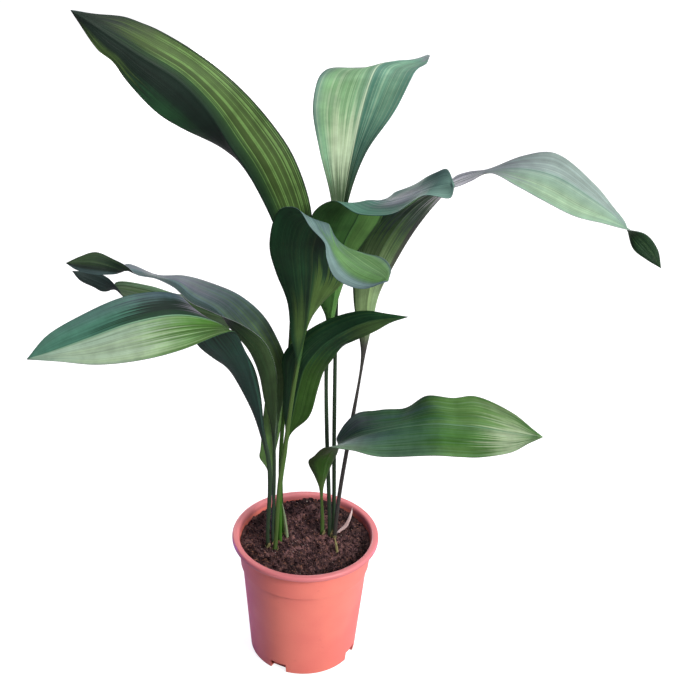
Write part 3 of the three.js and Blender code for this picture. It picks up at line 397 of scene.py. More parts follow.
UNDERSIDES = {
    # Painted light and shade: the left half glows olive with bright lines where light shines through it, the
    # rest is near-black shade, and the lilac patch is a painted sheen
    "leaf_tall_left": dict(base=INK, rib=NIGHT, rim=PLUM, lines=(APPLE, 0.7),
        lines_in=((-0.02, 0.4), (-0.1, 0.8)), patches=[
        (LIT_HALF_OLIVE, (-0.1, 0.47), (-0.1, 0.94), 0.03, 0.06, 0.95),
        (OLIVE, (0.06, 0.34), (0.3, 0.86), 0.1, 0.12, 0.5),
        (MOSS, (0.1, 0.3), (0.6, 0.86), 0.1, 0.1, 0.3),
        (FOREST, (0.38, 0.49), ALL, 0.05, 0.1, 0.5),
        (MOSS, (0.04, 0.4), (-0.1, 0.3), 0.08, 0.12, 0.35),
        (NIGHT, ALL, (0.86, 1.1), 0.1, 0.05, 0.9),
        (OLIVE, (0.12, 0.34), (0.8, 0.9), 0.08, 0.04, 0.5),
        (DEEP, (-0.1, 0.03), (0.2, 0.9), 0.03, 0.08, 0.6),
        (INK, (0.42, 0.5), (0.2, 0.9), 0.03, 0.08, 0.5),
        (FOREST, (0.8, 1.1), (0.56, 0.78), 0.08, 0.06, 0.7),
        (OLIVE, (0.82, 1.1), (0.83, 0.94), 0.08, 0.04, 0.7),
        (LILAC_SHEEN, (0.6, 0.98), (0.27, 0.4), 0.12, 0.04, 0.4),
    ]),
    "leaf_upright": dict(base=FOREST, rib=DEEP, rim=MOSS, lines=(MOSS, 0.2)),
    "leaf_centre": dict(base=FOREST, rib=DARK_OLIVE, rim=DARK_OLIVE, lines=(MOSS, 0.12),
        lines_in=((0.5, 1), ALL), patches=[
        (OLIVE, (-0.1, 0.46), (0.02, 0.4), 0.04, 0.05, 0.9),
        # Painted shade: near-black where the underside rises in shadow
        (NIGHT, (-0.1, 0.5), (0.4, 0.53), 0.1, 0.05, 0.75),
        (INK, (-0.1, 0.55), (0.5, 0.72), 0.1, 0.06, 0.5),
        (DEEP, (0.5, 1.1), (0.1, 0.46), 0.1, 0.08, 0.7),
        (NIGHT, (0.5, 0.6), (0.2, 0.5), 0.05, 0.1, 0.6),
        (OLIVE, (0.54, 0.85), (0.04, 0.24), 0.08, 0.08, 0.8),
        (FOREST, (0.55, 1.1), (0.36, 0.6), 0.08, 0.06, 0.8),
    ]),
    "leaf_far_right": dict(base=APPLE, rib=DARK_OLIVE, rim=MOSS, lines=(APPLE, 0.2), patches=[
        (MOSS, (0.1, 1.1), (0.12, 0.27), 0.1, 0.05, 0.7),
        (SAGE, (-0.1, 0.35), (-0.1, 0.16), 0.08, 0.06, 0.25),
        (PALE_GREY, ALL, (-0.1, 0.2), 0.1, 0.08, 0.25),
        # Painted sheen on the twist
        (LILAC_SHEEN, ALL, (0.3, 0.5), 0.1, 0.04, 0.6),
        (DARK_OLIVE, ALL, (0.16, 0.3), 0.08, 0.06, 0.5),
        (STEEL, ALL, (0.26, 0.37), 0.08, 0.05, 0.85),
        (PLUM, (-0.1, 0.14), (0.12, 0.36), 0.08, 0.06, 0.8),
        # A painted shadow along the margin, cast by the leaf in front
        (INK, (0.93, 1.1), (0.03, 0.3), 0.03, 0.05, 0.8),
        # Painted highlight on the twist, with painted shade along its fold
        (WHITE_HIGHLIGHT, ALL, (0.42, 0.52), 0.1, 0.02, 0.95),
        (INK, (0.38, 0.56), (0.4, 0.5), 0.05, 0.03, 0.9),
        (DEEP, ALL, (0.86, 1.1), 0.1, 0.03, 1),
    ]),
    "leaf_mid_right": dict(base=GRASS, rib=NIGHT, rim=DARK_OLIVE, lines=(MOSS, 0.2), patches=[
        (MOSS, (-0.1, 0.44), (0.15, 0.55), 0.05, 0.08, 0.5),
        (INK, (-0.1, 0.06), (0.15, 0.6), 0.03, 0.08, 0.8),
        (FOREST, (0.46, 1.1), (0.1, 0.65), 0.05, 0.1, 0.4),
    ]),
    "leaf_low_right": dict(base=DARK_OLIVE, rib=MOSS, rim=PLUM, lines=(OLIVE, 0.4), patches=[
        (SPRING, (0.1, 0.8), (-0.1, 0.12), 0.1, 0.05, 0.6),
    ]),
    "leaf_front": dict(base=FOREST, rib=DEEP, rim=DARK_OLIVE, lines=(MOSS, 0.25), patches=[
        (FERN, (-0.1, 0.49), (-0.1, 0.5), 0.03, 0.08, 0.9),
        (DEEP, (-0.1, 0.48), (0.45, 0.8), 0.06, 0.08, 0.5),
        (OLIVE, (-0.1, 0.48), (0.7, 0.95), 0.06, 0.06, 0.6),
        (DEEP, (0.5, 1.1), (0.3, 0.9), 0.06, 0.1, 0.6),
    ]),
    "leaf_low_left": dict(base=NIGHT, rib=STEEL, rim=STEEL, lines=(FOREST, 0.3), patches=[
        (DEEP_TEAL, (0.3, 1.1), (0, 0.4), 0.1, 0.1, 0.6),
    ]),
    "leaf_arched_left": dict(base=NIGHT, rib=NIGHT, rim=STEEL, lines=(FOREST, 0.3), patches=[
        (DARK_OLIVE, ALL, (-0.1, 0.4), 0.1, 0.1, 0.9),
        (DARK_OLIVE, (-0.1, 0.6), (0.88, 1.1), 0.1, 0.05, 0.6),
        (BLUE_GREY, (0.8, 1.1), (0.75, 1.1), 0.08, 0.05, 0.5),
    ]),
    "leaf_back_left": dict(base=STEEL, rib=NIGHT, rim=STEEL, lines=(BLUE_GREY, 0.2), patches=[
        (FOREST, ALL, (-0.1, 0.25), 0.1, 0.1, 0.9),
        (DUSK, ALL, (0.76, 1.1), 0.1, 0.05, 0.5),
    ]),
}

# Colours of the pot, the soil and what lies in it
SALMON = 0xEC8473
CORAL = 0xE67B6E
SCUFFED = 0xF29684
DUSTY = 0xB65A50
# Painted shade on the lip
SHADED_LIP_ROSE = 0xC4747C
SOIL_DARK = 0x21161A
SOIL_BROWN = 0x553D3B
SOIL_CRUST = 0x6E5048
SOIL_SPECK = 0xB8A498
FIBRE_TONES = (0x4C2E26, 0x8A5F4A)
GRAIN_TONES = (0xD9CFC6, 0xA79A90)
PAPER_TONES = (0x45452A, 0x7C7850)
ROOT_TONES = (0x7A5B38, 0xA88A5C)

# Leaf section, as in the solid
STALK_HALF = 2.3
TIP_SHRINK = 0.02
STALK_BLEND = (2.5, 9)
EDGE_THICKNESS = (1.4, 0.8)
RIB_THICKNESS = (3.4, 1.5)
TIP_THICKNESS = 0.7
THICKNESS_PER_HALF = 1.2
CHANNEL = 0.06
WAVE_HEIGHT = 1.4
RIGHT_WAVE_PHASE = 0.4
FOLD_SOFTNESS = 0.2
SHEATH_ACROSS = np.array((1.0, 0.0, 0.0))

# Finer than the solid
ROWS_PER_SPAN = 8
CELLS_PER_HALF = 12
CROWDING = 0.09
RIM_THICKNESS = 0.25
RIM_START = 0.8
GROOVE = {"depth": 0.5, "half_width": 1.3}
RIDGE = {"height": 0.6, "half_width": 1.1}
WOBBLE = {"height": 0.35, "across": 5.1, "along": 9}

# Pot, in millimetres
POT_HEIGHT = 160
RIM_RADIUS = 85
MOUTH_RADIUS = 78.75
FOOT_RADIUS = 62.7
POT_WALL = 1.6
POT_FLOOR = 2.2
LIP_HEIGHT = 6
LIP_BOTTOM = POT_HEIGHT - LIP_HEIGHT
COLLAR_BOTTOM = 122
COLLAR_STEP = 2
COLLAR_BOTTOM_RADIUS = 75
COLLAR_TOP_RADIUS = 78
POT_SIDES = 192
POT_SHARP_DEG = 40
NOTCH_COUNT = 4
# The box that cuts a notch, twice as deep and as high as the notch
NOTCH_SIZE = (16, 20, 24)
FIRST_NOTCH_DEG = 65

# Soil, in millimetres
SOIL_LEVEL = 149
SOIL_MOUND = {"x": 5, "y": 58, "rise": 8, "spread": 22}
# Each wave: how high, how fast it runs in X and in Y, and where it starts
SOIL_WAVES = [
    (0.55, 0.31, -0.27, 2.57), (0.55, 0.31, 0.27, 5.71), (0.8, -0.23, 0.57, 2), (0.6, 0.71, 0.4, 0),
]
SOIL_RINGS = 80
SOIL_SIDES = 260
SOIL_FOOT = COLLAR_BOTTOM + 1
FOOT_CLEARANCE = 0.4
TOP_CLEARANCE = 0.15
CRUMB_REACH = 72
FIBRE_COUNT = 200
FIBRE_START_REACH = 71
FIBRE_END_REACH = 73
FINE_GRAIN_COUNT = 130

# White grains, where the photograph shows them
GRAINS = [
    (297, 506), (300, 503.5), (303, 505), (307, 506.5), (310, 505),
    (264, 535), (267.6, 544.6), (258.5, 552.4), (302.7, 543), (314, 558.7),
]

# Papery stalk bases: rows and columns of points, and their measures in millimetres
SCALE_GRID = (7, 9)
SCALE_BURIED = 6
SCALE_RADIUS = 2.75
SCALE_STEP = 0.35
SCALE_FLARE = 0.35
SCALE_NARROWING = 0.75
SCALE_THICKNESS = 0.3

# Stage. The floor is grey to the light that falls on it, and white to the camera.
FLOOR_REACH = 20000
FLOOR_GREY = 0xA8A8A8
FLOOR_GLOW = 0.86
WHITE = 0xFFFFFF

# The surroundings shine in violet from the left and in a warm white from the right.
LEFT_GLOW = (0.07, 0.06, 0.27, 1)
RIGHT_GLOW = (1.0, 0.92, 0.96, 1)
GLOW_STRENGTH = 0.52


def linear(hex_colour):
    """A colour written as 0xRRGGBB, as the renderer takes it."""
    shares = [(hex_colour >> shift & 255) / 255 for shift in (16, 8, 0)]
    return (*(s / 12.92 if s <= 0.04045 else ((s + 0.055) / 1.055) ** 2.4 for s in shares), 1)


def smoothstep(value, start, end):
    share = np.clip((value - start) / (end - start), 0, 1)
    return share * share * (3 - 2 * share)


def mix(a, b, share):
    return a + (b - a) * share


def unit(rows):
    return rows / np.maximum(np.linalg.norm(rows, axis=-1, keepdims=True), 1e-9)


# The view

def sightline(x, y):
    """The line of sight through a point of the photograph, one millimetre long straight ahead."""
    return VIEW_TURN @ (x - CENTRE, CENTRE - y, -FOCAL) / FOCAL


def along_sightline(x, y, distance):
    return VIEWPOINT + sightline(x, y) * distance


def distance_at(x, y, place_in_y):
    return (place_in_y - VIEWPOINT[1]) / sightline(x, y)[1]


def at_y(x, y, place_in_y):
    """The point in millimetres that the photograph shows at x, y, when its place in Y is known."""
    return along_sightline(x, y, distance_at(x, y, place_in_y))


def at_height(x, y, height):
    """The point in millimetres that the photograph shows at x, y, when its height is known."""
    return along_sightline(x, y, (height - VIEWPOINT[2]) / sightline(x, y)[2])


def add_object(name, data):
    made = bpy.data.objects.new(name, data)
    bpy.context.scene.collection.objects.link(made)
    return made


def make_camera():
    data = bpy.data.cameras.new("camera")
    data.sensor_width = SENSOR_WIDTH
    data.lens = SENSOR_WIDTH * FOCAL / (2 * CENTRE)
    data.clip_start = 0.01
    data.clip_end = 100
    camera = add_object("camera", data)
    camera.matrix_world = Matrix.LocRotScale(Vector(VIEWPOINT) * MM, Matrix(VIEW_TURN), None)
    bpy.context.scene.camera = camera


# Materials

class Nodes:
    """Short names for the nodes of a material or of the world."""

    def __init__(self, tree):
        self.nodes = tree.nodes
        self.links = tree.links

    def node(self, kind, *values, **settings):
        node = self.nodes.new("ShaderNode" + kind)
        for setting, value in settings.items():
            setattr(node, setting, value)
        for socket, value in zip(node.inputs, values):
            self.put(socket, value)
        return node

    def named(self, kind, **values):
        """A node with its sockets set by their names."""
        node = self.nodes.new("ShaderNode" + kind)
        for socket, value in values.items():
            self.put(node.inputs[socket], value)
        return node

    def put(self, socket, value):
        if isinstance(value, bpy.types.NodeSocket):
            self.links.new(value, socket)
        else:
            socket.default_value = value

    def math(self, operation, *values):
        return self.node("Math", *values, operation=operation).outputs[0]

    def multiply(self, *values):
        product = values[0]
        for value in values[1:]:
            product = self.math("MULTIPLY", product, value)
        return product

    def fade(self, value, start, end, low=0.0, high=1.0):
        return self.node(
            "MapRange", value, start, end, low, high, interpolation_type="SMOOTHSTEP"
        ).outputs[0]

    def window(self, value, reach, soft):
        """1 within a reach and 0 outside it."""
        low, high = reach
        rise = self.fade(value, low - soft, low + soft)
        fall = self.fade(value, high - soft, high + soft, 1.0, 0.0)
        return self.multiply(rise, fall)

    def blend(self, share, a, b, kind="MIX"):
        node = self.node("Mix", data_type="RGBA", blend_type=kind)
        self.put(node.inputs["Factor"], share)
        self.put(node.inputs["A"], linear(a) if isinstance(a, int) else a)
        self.put(node.inputs["B"], linear(b) if isinstance(b, int) else b)
        return node.outputs["Result"]

    def turn(self, colour, other, value, start, end, most=1.0):
        """A colour that turns into another one while a value runs from start to end."""
        return self.blend(self.fade(value, start, end, 0.0, most), colour, other)

    def shade(self, colour, share):
        """A colour made darker or lighter by a share of each of its parts."""
        grey = self.node("CombineColor", share, share, share).outputs[0]
        return self.blend(1.0, colour, grey, "MULTIPLY")

    def join(self, x, y, z=0.0):
        return self.node("CombineXYZ", x, y, z).outputs[0]

    def split(self, value):
        return self.node("SeparateXYZ", value).outputs[:3]

    def noise(self, place, scale, detail=2.0, roughness=0.5):
        node = self.named("TexNoise", Vector=place, Scale=scale, Detail=detail, Roughness=roughness)
        return node.outputs["Fac"]

    def uv_map(self, name):
        return self.node("UVMap", uv_map=name).outputs[0]

    def place(self):
        return self.node("TexCoord").outputs["Object"]


class Finish(Nodes):
    """A material, and short names for the nodes that colour it."""

    def __init__(self, name, roughness=0.5, specular=0.4):
        self.material = bpy.data.materials.new(name)
        self.material.use_nodes = True
        super().__init__(self.material.node_tree)
        self.shader = self.nodes["Principled BSDF"]
        self.set("Roughness", roughness)
        self.set("Specular IOR Level", specular)

    def set(self, socket, value):
        self.put(self.shader.inputs[socket], value)

    def bump(self, height, distance, strength):
        node = self.named("Bump", Strength=strength, Distance=distance, Height=height)
        self.set("Normal", node.outputs["Normal"])

    def colour(self, value):
        self.set("Base Color", value)


def leaf_finish(name, face, stalk, seed):
    """Veins, lines and patches that follow the leaf, from its two maps."""
    finish = Finish(name, specular=0.18)
    across, along, _ = finish.split(finish.uv_map("Blade"))

    def streaks(count, run, start, detail):
        place = finish.join(finish.multiply(across, count), finish.multiply(along, run), seed + start)
        return finish.noise(place, 1.0, detail, 0.55)

    def ragged(value, by, most):
        return finish.math("MULTIPLY_ADD", finish.math("SUBTRACT", by, 0.5), most, value)

    broad = streaks(9, 0.8, 0, 2.0)
    thin = streaks(44, 0.9, 3, 1.0)
    coarse = streaks(17, 1.6, 8, 2.0)
    lines = streaks(64, 0.7, 11, 1.0)
    veins = streaks(90, 1.8, 5, 1.5)
    mottle = finish.noise(finish.uv_map("Metres"), 55.0, 4.0, 0.6)
    along_ragged = ragged(along, thin, 0.3)
    across_ragged = ragged(across, mottle, 0.04)

    colour = linear(face["base"])
    for patch, sides, ends, soft_side, soft_end, strength in face.get("patches", ()):
        share = finish.multiply(
            finish.window(across_ragged, sides, soft_side),
            finish.window(along_ragged, ends, soft_end),
            strength,
        )
        colour = finish.blend(share, colour, patch)

    colour = finish.shade(colour, finish.multiply(
        finish.fade(broad, 0.35, 0.65, 0.86, 1.1),
        finish.fade(veins, 0.35, 0.65, 0.9, 1.08),
        finish.fade(mottle, 0.3, 0.7, 0.86, 1.12),
    ))
    if "smears" in face:
        smear, strength, sides, ends = face["smears"]
        on_smear = finish.multiply(
            finish.fade(coarse, 0.5, 0.62),
            finish.window(across_ragged, sides, 0.06),
            finish.window(along_ragged, ends, 0.08),
            strength,
        )
        colour = finish.blend(on_smear, colour, smear)
    line, strength = face["lines"]
    sides, ends = face.get("lines_in", WHOLE_FACE)
    on_line = finish.multiply(
        finish.fade(lines, 0.54, 0.62),
        finish.window(across, sides, 0.02),
        finish.window(along, ends, 0.05),
        finish.fade(mottle, 0.3, 0.6, 0.6, 1.0),
        strength,
    )
    colour = finish.blend(on_line, colour, line)

    off_rib = finish.math("ABSOLUTE", finish.math("SUBTRACT", across, 0.5))
    colour = finish.blend(finish.fade(off_rib, 0.003, 0.013, 0.7, 0.0), colour, face["rib"])
    colour = finish.turn(colour, face["rim"], off_rib, 0.49, 0.499, 0.7)
    streaked_stalk = finish.turn(stalk, MOSS, veins, 0.4, 0.6)
    on_stalk = finish.fade(along, -0.06, 0.02, 1.0, 0.0)
    finish.colour(finish.blend(on_stalk, colour, finish.blend(0.8, streaked_stalk, stalk)))
    finish.set("Roughness", finish.fade(mottle, 0.25, 0.75, 0.45, 0.6))
    finish.bump(finish.math("ADD", veins, finish.multiply(thin, 0.8)), 0.0004, 0.5)
    return finish.material


def sheath_finish(name, light, dark):
    finish = Finish(name, roughness=0.7, specular=0.3)
    across, along, _ = finish.split(finish.uv_map("Blade"))
    fibres = finish.noise(finish.join(finish.multiply(across, 9), finish.multiply(along, 1.5)), 1.0, 3.0)
    spots = finish.noise(finish.uv_map("Metres"), 260.0, 3.0)
    colour = finish.turn(light, dark, fibres, 0.38, 0.62)
    finish.colour(finish.turn(colour, dark, spots, 0.55, 0.75, 0.5))
    finish.bump(fibres, 0.0003, 0.7)
    return finish.material


# Pieces

def new_piece(name, points, faces, *materials):
    """An object from its points in millimetres, its faces and its materials."""
    mesh = bpy.data.meshes.new(name)
    mesh.from_pydata((np.array(points) * MM).tolist(), [], faces)
    mesh.validate()
    for material in materials:
        mesh.materials.append(material)
    return add_object(name, mesh)


def dress(piece, slot, *nodes):
    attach(piece, "root")
    if nodes:
        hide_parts(*nodes)


def plate_faces(rows, columns):
    """The faces on two like grids of points, one over the other, and round their edge."""
    below = rows * columns
    grid = np.arange(below).reshape(rows, columns)
    corners = (grid[:-1, :-1], grid[:-1, 1:], grid[1:, 1:], grid[1:, :-1])
    a, b, c, d = (corner.ravel() for corner in corners)
    edge = np.concatenate((grid[:, 0], grid[-1, 1:], grid[-2::-1, -1], grid[0, -2:0:-1]))
    after = np.roll(edge, -1)
    return np.vstack((
        np.stack((a, b, c, d), 1),
        np.stack((a, d, c, b), 1) + below,
        np.stack((edge, after, after + below, edge + below), 1),
    )).tolist()


def circle(radius, sides):
    angles = 2 * np.pi * np.arange(sides) / sides
    return [(radius * math.cos(t), radius * math.sin(t)) for t in angles]


def stacked(bottom, rings, top):
    """The points and faces of a closed body, from its rings and the points that close it."""
    sides = len(rings[0])
    points = [bottom, *(point for ring in rings for point in ring), top]
    last = len(points) - 1 - sides
    faces = []
    for side in range(sides):
        after = (side + 1) % sides
        faces.append((0, 1 + after, 1 + side))
        for first in range(1, last, sides):
            a, b = first + side, first + after
            faces.append((b, b + sides, a + sides, a))
        faces.append((last + side, last + after, len(points) - 1))
    return points, faces


# Leaves

def blade_station(rib, left, right):
    """The middle of a station, and the ways from there to its two margins."""
    distance = distance_at(*rib)
    middle = along_sightline(*rib[:2], distance)
    margins = [along_sightline(x, y, distance + farther) - middle for x, y, farther in (left, right)]
    return middle, *margins


def station_rows(leaf):
    """The middle of each station and the ways to its margins, and the number of the first rib."""
    blade = [blade_station(*station) for station in leaf.get("ribs", ())]
    tip = at_y(*leaf["tip"])
    sideways = blade[0][2] - blade[0][1] if blade else SHEATH_ACROSS
    stem = [np.array(foot, float) for foot in leaf["feet"]] + [at_y(*point) for point in leaf["stalk"]]
    beyond = blade[0][0] if blade else tip
    halves = leaf.get("halves", [STALK_HALF] * len(stem))
    rows = []
    for before, middle, after, half in zip(stem[:1] + stem, stem, stem[1:] + [beyond], halves):
        along = unit(after - before)
        right = sideways - along * sideways.dot(along)
        right *= half / np.linalg.norm(right)
        rows.append((middle, -right, right))
    rows += blade
    rows.append((tip, rows[-1][1] * TIP_SHRINK, rows[-1][2] * TIP_SHRINK))
    return rows, len(stem) if blade else 0


def curve_through(points):
    """Rows of points on a centripetal curve through the given points, and its direction at each."""
    points = np.array(points)
    points = np.vstack((2 * points[0] - points[1], points, 2 * points[-1] - points[-2]))
    places, ways = [], []
    spans = len(points) - 3
    for span in range(spans):
        before, start, end, after = points[span:span + 4]
        lead, here, trail = np.linalg.norm(np.diff(points[span:span + 4], axis=0), axis=1) ** 0.5
        leave = (start - before) / lead - (end - before) / (lead + here) + (end - start) / here
        arrive = (end - start) / here - (after - start) / (here + trail) + (after - end) / trail
        leave, arrive = leave * here, arrive * here
        square = 3 * (end - start) - 2 * leave - arrive
        cube = 2 * (start - end) + leave + arrive
        last = span == spans - 1
        for share in np.arange(ROWS_PER_SPAN + last) / ROWS_PER_SPAN:
            places.append(start + share * (leave + share * (square + share * cube)))
            ways.append(leave + share * (2 * square + share * 3 * cube))
    return np.array(places), np.array(ways)


def bell(height, half_width, off_rib):
    return height * np.exp(-(off_rib / half_width) ** 2)


def leaf_form(rows, first_rib, waves, seed):
    """A leaf with the solid's form, a groove over its midrib, a ridge under it and a thin rim.

    It comes as its upper and its lower face, which are grids of points, then the middle and the half
    width of each row of points, and how far out each column of points lies, from -1 to 1.
    """
    middle, along = curve_through([row[0] for row in rows])
    left, right = (curve_through([row[0] + row[side] for row in rows])[0] - middle for side in (1, 2))
    half = (np.linalg.norm(left, axis=1) + np.linalg.norm(right, axis=1)) / 2
    flat = smoothstep(half, *STALK_BLEND)[:, None]
    level = unit(np.cross(right - left, along))
    left_facing = unit(mix(level, unit(np.cross(along, left)), flat))
    right_facing = unit(mix(level, unit(np.cross(right, along)), flat))
    rib_facing = unit(left_facing + right_facing)
    spans = len(rows) - 1
    place = np.linspace(0, spans, len(middle))
    blade_share = np.clip((place - first_rib) / (spans - first_rib), 0, 1)[:, None]
    most = (TIP_THICKNESS + THICKNESS_PER_HALF * half)[:, None]
    edge_thickness = np.minimum(mix(*EDGE_THICKNESS, flat), most)
    rib_thickness = np.minimum(mix(*RIB_THICKNESS, flat), most)

    steps = np.linspace(-1, 1, 2 * CELLS_PER_HALF + 1)
    out = steps - CROWDING * np.sin(2 * np.pi * steps)
    reach = np.abs(out)
    on_left = out[None, :, None] < 0
    side = np.where(on_left, left[:, None], right[:, None])
    facing = np.where(on_left, left_facing[:, None], right_facing[:, None])
    off_middle = smoothstep(reach, 0, FOLD_SOFTNESS)[None, :, None]
    facing = unit(mix(rib_facing[:, None], facing, off_middle))

    width = np.linalg.norm(side, axis=2)
    swell = np.sin(np.pi * blade_share)
    ripple = swell * np.sin(2 * np.pi * (waves * blade_share + np.where(out < 0, 0, RIGHT_WAVE_PHASE)))
    wobble = swell * np.sin(WOBBLE["across"] * out + WOBBLE["along"] * blade_share * waves + seed)
    lift = flat * (WAVE_HEIGHT * ripple * reach ** 3 + WOBBLE["height"] * wobble * reach)
    lift -= CHANNEL * width * np.sin(np.pi * reach)
    thick = mix(rib_thickness, edge_thickness, reach ** 2) / 2
    thick = mix(thick, np.minimum(thick, RIM_THICKNESS), smoothstep(reach, RIM_START, 1.0) * flat)
    groove = flat * bell(GROOVE["depth"], GROOVE["half_width"], reach * width)
    ridge = flat * bell(RIDGE["height"], RIDGE["half_width"], reach * width)
    base = middle[:, None] + side * reach[None, :, None]
    upper = base + facing * (lift + thick - groove)[..., None]
    lower = base + facing * (lift - thick - ridge)[..., None]
    return np.stack((upper, lower)), middle, half, out


def add_maps(mesh, middle, half, out, first_rib):
    """Blade runs from 0 to 1 across the leaf and along its blade, and Metres runs in metres."""
    length = np.concatenate(((0,), np.cumsum(np.linalg.norm(np.diff(middle, axis=0), axis=1))))[:, None]
    start = length[first_rib * ROWS_PER_SPAN]
    share_along = (length - start) / (length[-1] - start)
    corners = np.empty(len(mesh.loops), np.int32)
    mesh.loops.foreach_get("vertex_index", corners)
    maps = {"Blade": ((out[None] + 1) / 2, share_along), "Metres": (out * half[:, None] * MM, length * MM)}
    for name, axes in maps.items():
        layer = mesh.uv_layers.new(name=name)
        values = np.stack(np.broadcast_arrays(*axes), 2).reshape(-1, 2)
        layer.uv.foreach_set("vector", values[corners % len(values)].astype(np.float32).ravel())


def leaf_piece(name, leaf, materials, seed):
    """A leaf with one material on its upper face and rim, and another one on its lower face."""
    rows, first_rib = station_rows(leaf)
    surfaces, middle, half, out = leaf_form(rows, first_rib, leaf.get("waves", 0), seed)
    faces = plate_faces(len(middle), len(out))
    piece = new_piece(name, surfaces.reshape(-1, 3), faces, *materials)
    piece.data.shade_smooth()
    cells = (len(middle) - 1) * (len(out) - 1)
    slots = np.zeros(len(faces), np.int32)
    slots[cells:2 * cells] = 1
    piece.data.polygons.foreach_set("material_index", slots)
    add_maps(piece.data, middle, half, out, first_rib)
    return piece


def make_leaves():
    for seed, (name, leaf) in enumerate(LEAVES.items()):
        materials = [
            leaf_finish(f"{name}_upper", UPPER_FACES[name], leaf["stalk_colour"], SEED_STEP * seed),
            leaf_finish(f"{name}_under", UNDERSIDES[name], leaf["stalk_colour"], SEED_STEP * seed + 1),
        ]
        dress(leaf_piece(f"{name}_fine", leaf, materials, seed), leaf["slot"], name)
    for seed, (name, sheath) in enumerate(SHEATHS.items()):
        material = sheath_finish(name, *sheath["colours"])
        dress(leaf_piece(f"{name}_fine", sheath, [material, material], seed), name, name)


# Pot

def wall_radius(z):
    if z < COLLAR_BOTTOM:
        return mix(FOOT_RADIUS, COLLAR_BOTTOM_RADIUS - COLLAR_STEP, z / COLLAR_BOTTOM)
    share = (z - COLLAR_BOTTOM) / (LIP_BOTTOM - COLLAR_BOTTOM)
    return mix(COLLAR_BOTTOM_RADIUS, COLLAR_TOP_RADIUS, share)


def bend(start, corner, end, steps=6):
    """Points that round a corner, from where the bend starts to where it ends."""
    shares = np.arange(steps + 1) / steps
    start, corner, end = (np.array(point, float) for point in (start, corner, end))
    return [tuple((1 - s) ** 2 * start + 2 * s * (1 - s) * corner + s * s * end) for s in shares]


def pot_profile():
    """From the middle of the underside, out and up to the lip, and down the inside to the floor."""
    low, high = COLLAR_BOTTOM, LIP_BOTTOM
    body_top = COLLAR_BOTTOM_RADIUS - COLLAR_STEP
    collar = COLLAR_BOTTOM_RADIUS
    inner_top = COLLAR_TOP_RADIUS - POT_WALL
    return [
        (0, 0),
        (FOOT_RADIUS * 0.5, 0),
        *bend((FOOT_RADIUS - 2, 0), (FOOT_RADIUS, 0), (wall_radius(2), 2)),
        *((wall_radius(z), z) for z in np.linspace(8, low - 3, 12)),
        *bend((body_top, low - 2), (body_top, low - 0.9), (body_top + 1, low - 0.6)),
        *bend((collar - 0.8, low - 0.5), (collar, low - 0.4), (collar + 0.05, low + 0.6)),
        *((wall_radius(z), z) for z in np.linspace(low + 4, high - 4, 6)),
        *bend((COLLAR_TOP_RADIUS, high - 1), (COLLAR_TOP_RADIUS, high), (COLLAR_TOP_RADIUS + 1.2, high)),
        *bend((RIM_RADIUS - 2.2, high), (RIM_RADIUS, high), (RIM_RADIUS, high + 2)),
        *bend((RIM_RADIUS, high + 3), (RIM_RADIUS, POT_HEIGHT), (RIM_RADIUS - 2.6, POT_HEIGHT)),
        *bend((MOUTH_RADIUS + 1, POT_HEIGHT), (inner_top, POT_HEIGHT), (inner_top, high)),
        (collar - POT_WALL, low),
        (body_top - POT_WALL, low - 1),
        (wall_radius(POT_FLOOR) - POT_WALL, POT_FLOOR),
        (0, POT_FLOOR),
    ]


def cutter_box(radius, size, angle):
    """A box round a point at the pot's foot, turned to face the middle."""
    centre = Vector((radius * math.cos(angle), radius * math.sin(angle), 0)) * MM
    bpy.ops.mesh.primitive_cube_add(size=1, location=centre, rotation=(0, 0, angle), scale=Vector(size) * MM)
    return bpy.context.object


def apply_modifiers(piece):
    graph = bpy.context.evaluated_depsgraph_get()
    mesh = bpy.data.meshes.new_from_object(piece.evaluated_get(graph))
    piece.modifiers.clear()
    old = piece.data
    piece.data = mesh
    bpy.data.meshes.remove(old)


def pot_finish():
    finish = Finish("pot_plastic", specular=0.45)
    place = finish.place()
    clouds = finish.noise(place, 14.0, 3.0)
    grain = finish.noise(place, 900.0, 2.0)
    x, y, z = finish.split(place)
    scuffs = finish.noise(finish.join(x, y, finish.multiply(z, 12)), 40.0, 4.0, 0.7)
    dust = finish.noise(place, 160.0, 5.0, 0.7)
    colour = finish.turn(SALMON, CORAL, clouds, 0.35, 0.65)
    colour = finish.turn(colour, SCUFFED, scuffs, 0.6, 0.8, 0.35)
    colour = finish.turn(colour, DUSTY, dust, 0.62, 0.72, 0.25)
    # The lip is painted a darker rose: painted shade
    finish.colour(finish.turn(colour, SHADED_LIP_ROSE, z, (LIP_BOTTOM - 1) * MM, LIP_BOTTOM * MM, 0.7))
    finish.set("Roughness", finish.fade(clouds, 0.3, 0.7, 0.34, 0.48))
    finish.bump(finish.math("MULTIPLY_ADD", scuffs, 0.6, grain), 0.00012, 0.35)
    return finish.material


def make_pot():
    (_, bottom), *profile, (_, top) = pot_profile()
    rings = [[(x, y, z) for x, y in circle(radius, POT_SIDES)] for radius, z in profile]
    pot = new_piece("pot_fine", *stacked((0, 0, bottom), rings, (0, 0, top)))
    cutters = []
    for notch in range(NOTCH_COUNT):
        angle = math.radians(FIRST_NOTCH_DEG + 360 / NOTCH_COUNT * notch)
        cutters.append(cutter_box(FOOT_RADIUS, NOTCH_SIZE, angle))
        modifier = pot.modifiers.new("notch", "BOOLEAN")
        modifier.operation = "DIFFERENCE"
        modifier.solver = "EXACT"
        modifier.object = cutters[-1]
    apply_modifiers(pot)
    for cutter in cutters:
        bpy.data.objects.remove(cutter)
    pot.data.materials.clear()
    pot.data.materials.append(pot_finish())
    pot.data.shade_smooth()
    pot.data.set_sharp_from_angle(angle=math.radians(POT_SHARP_DEG))
    dress(pot, "pot_plastic", "pot")


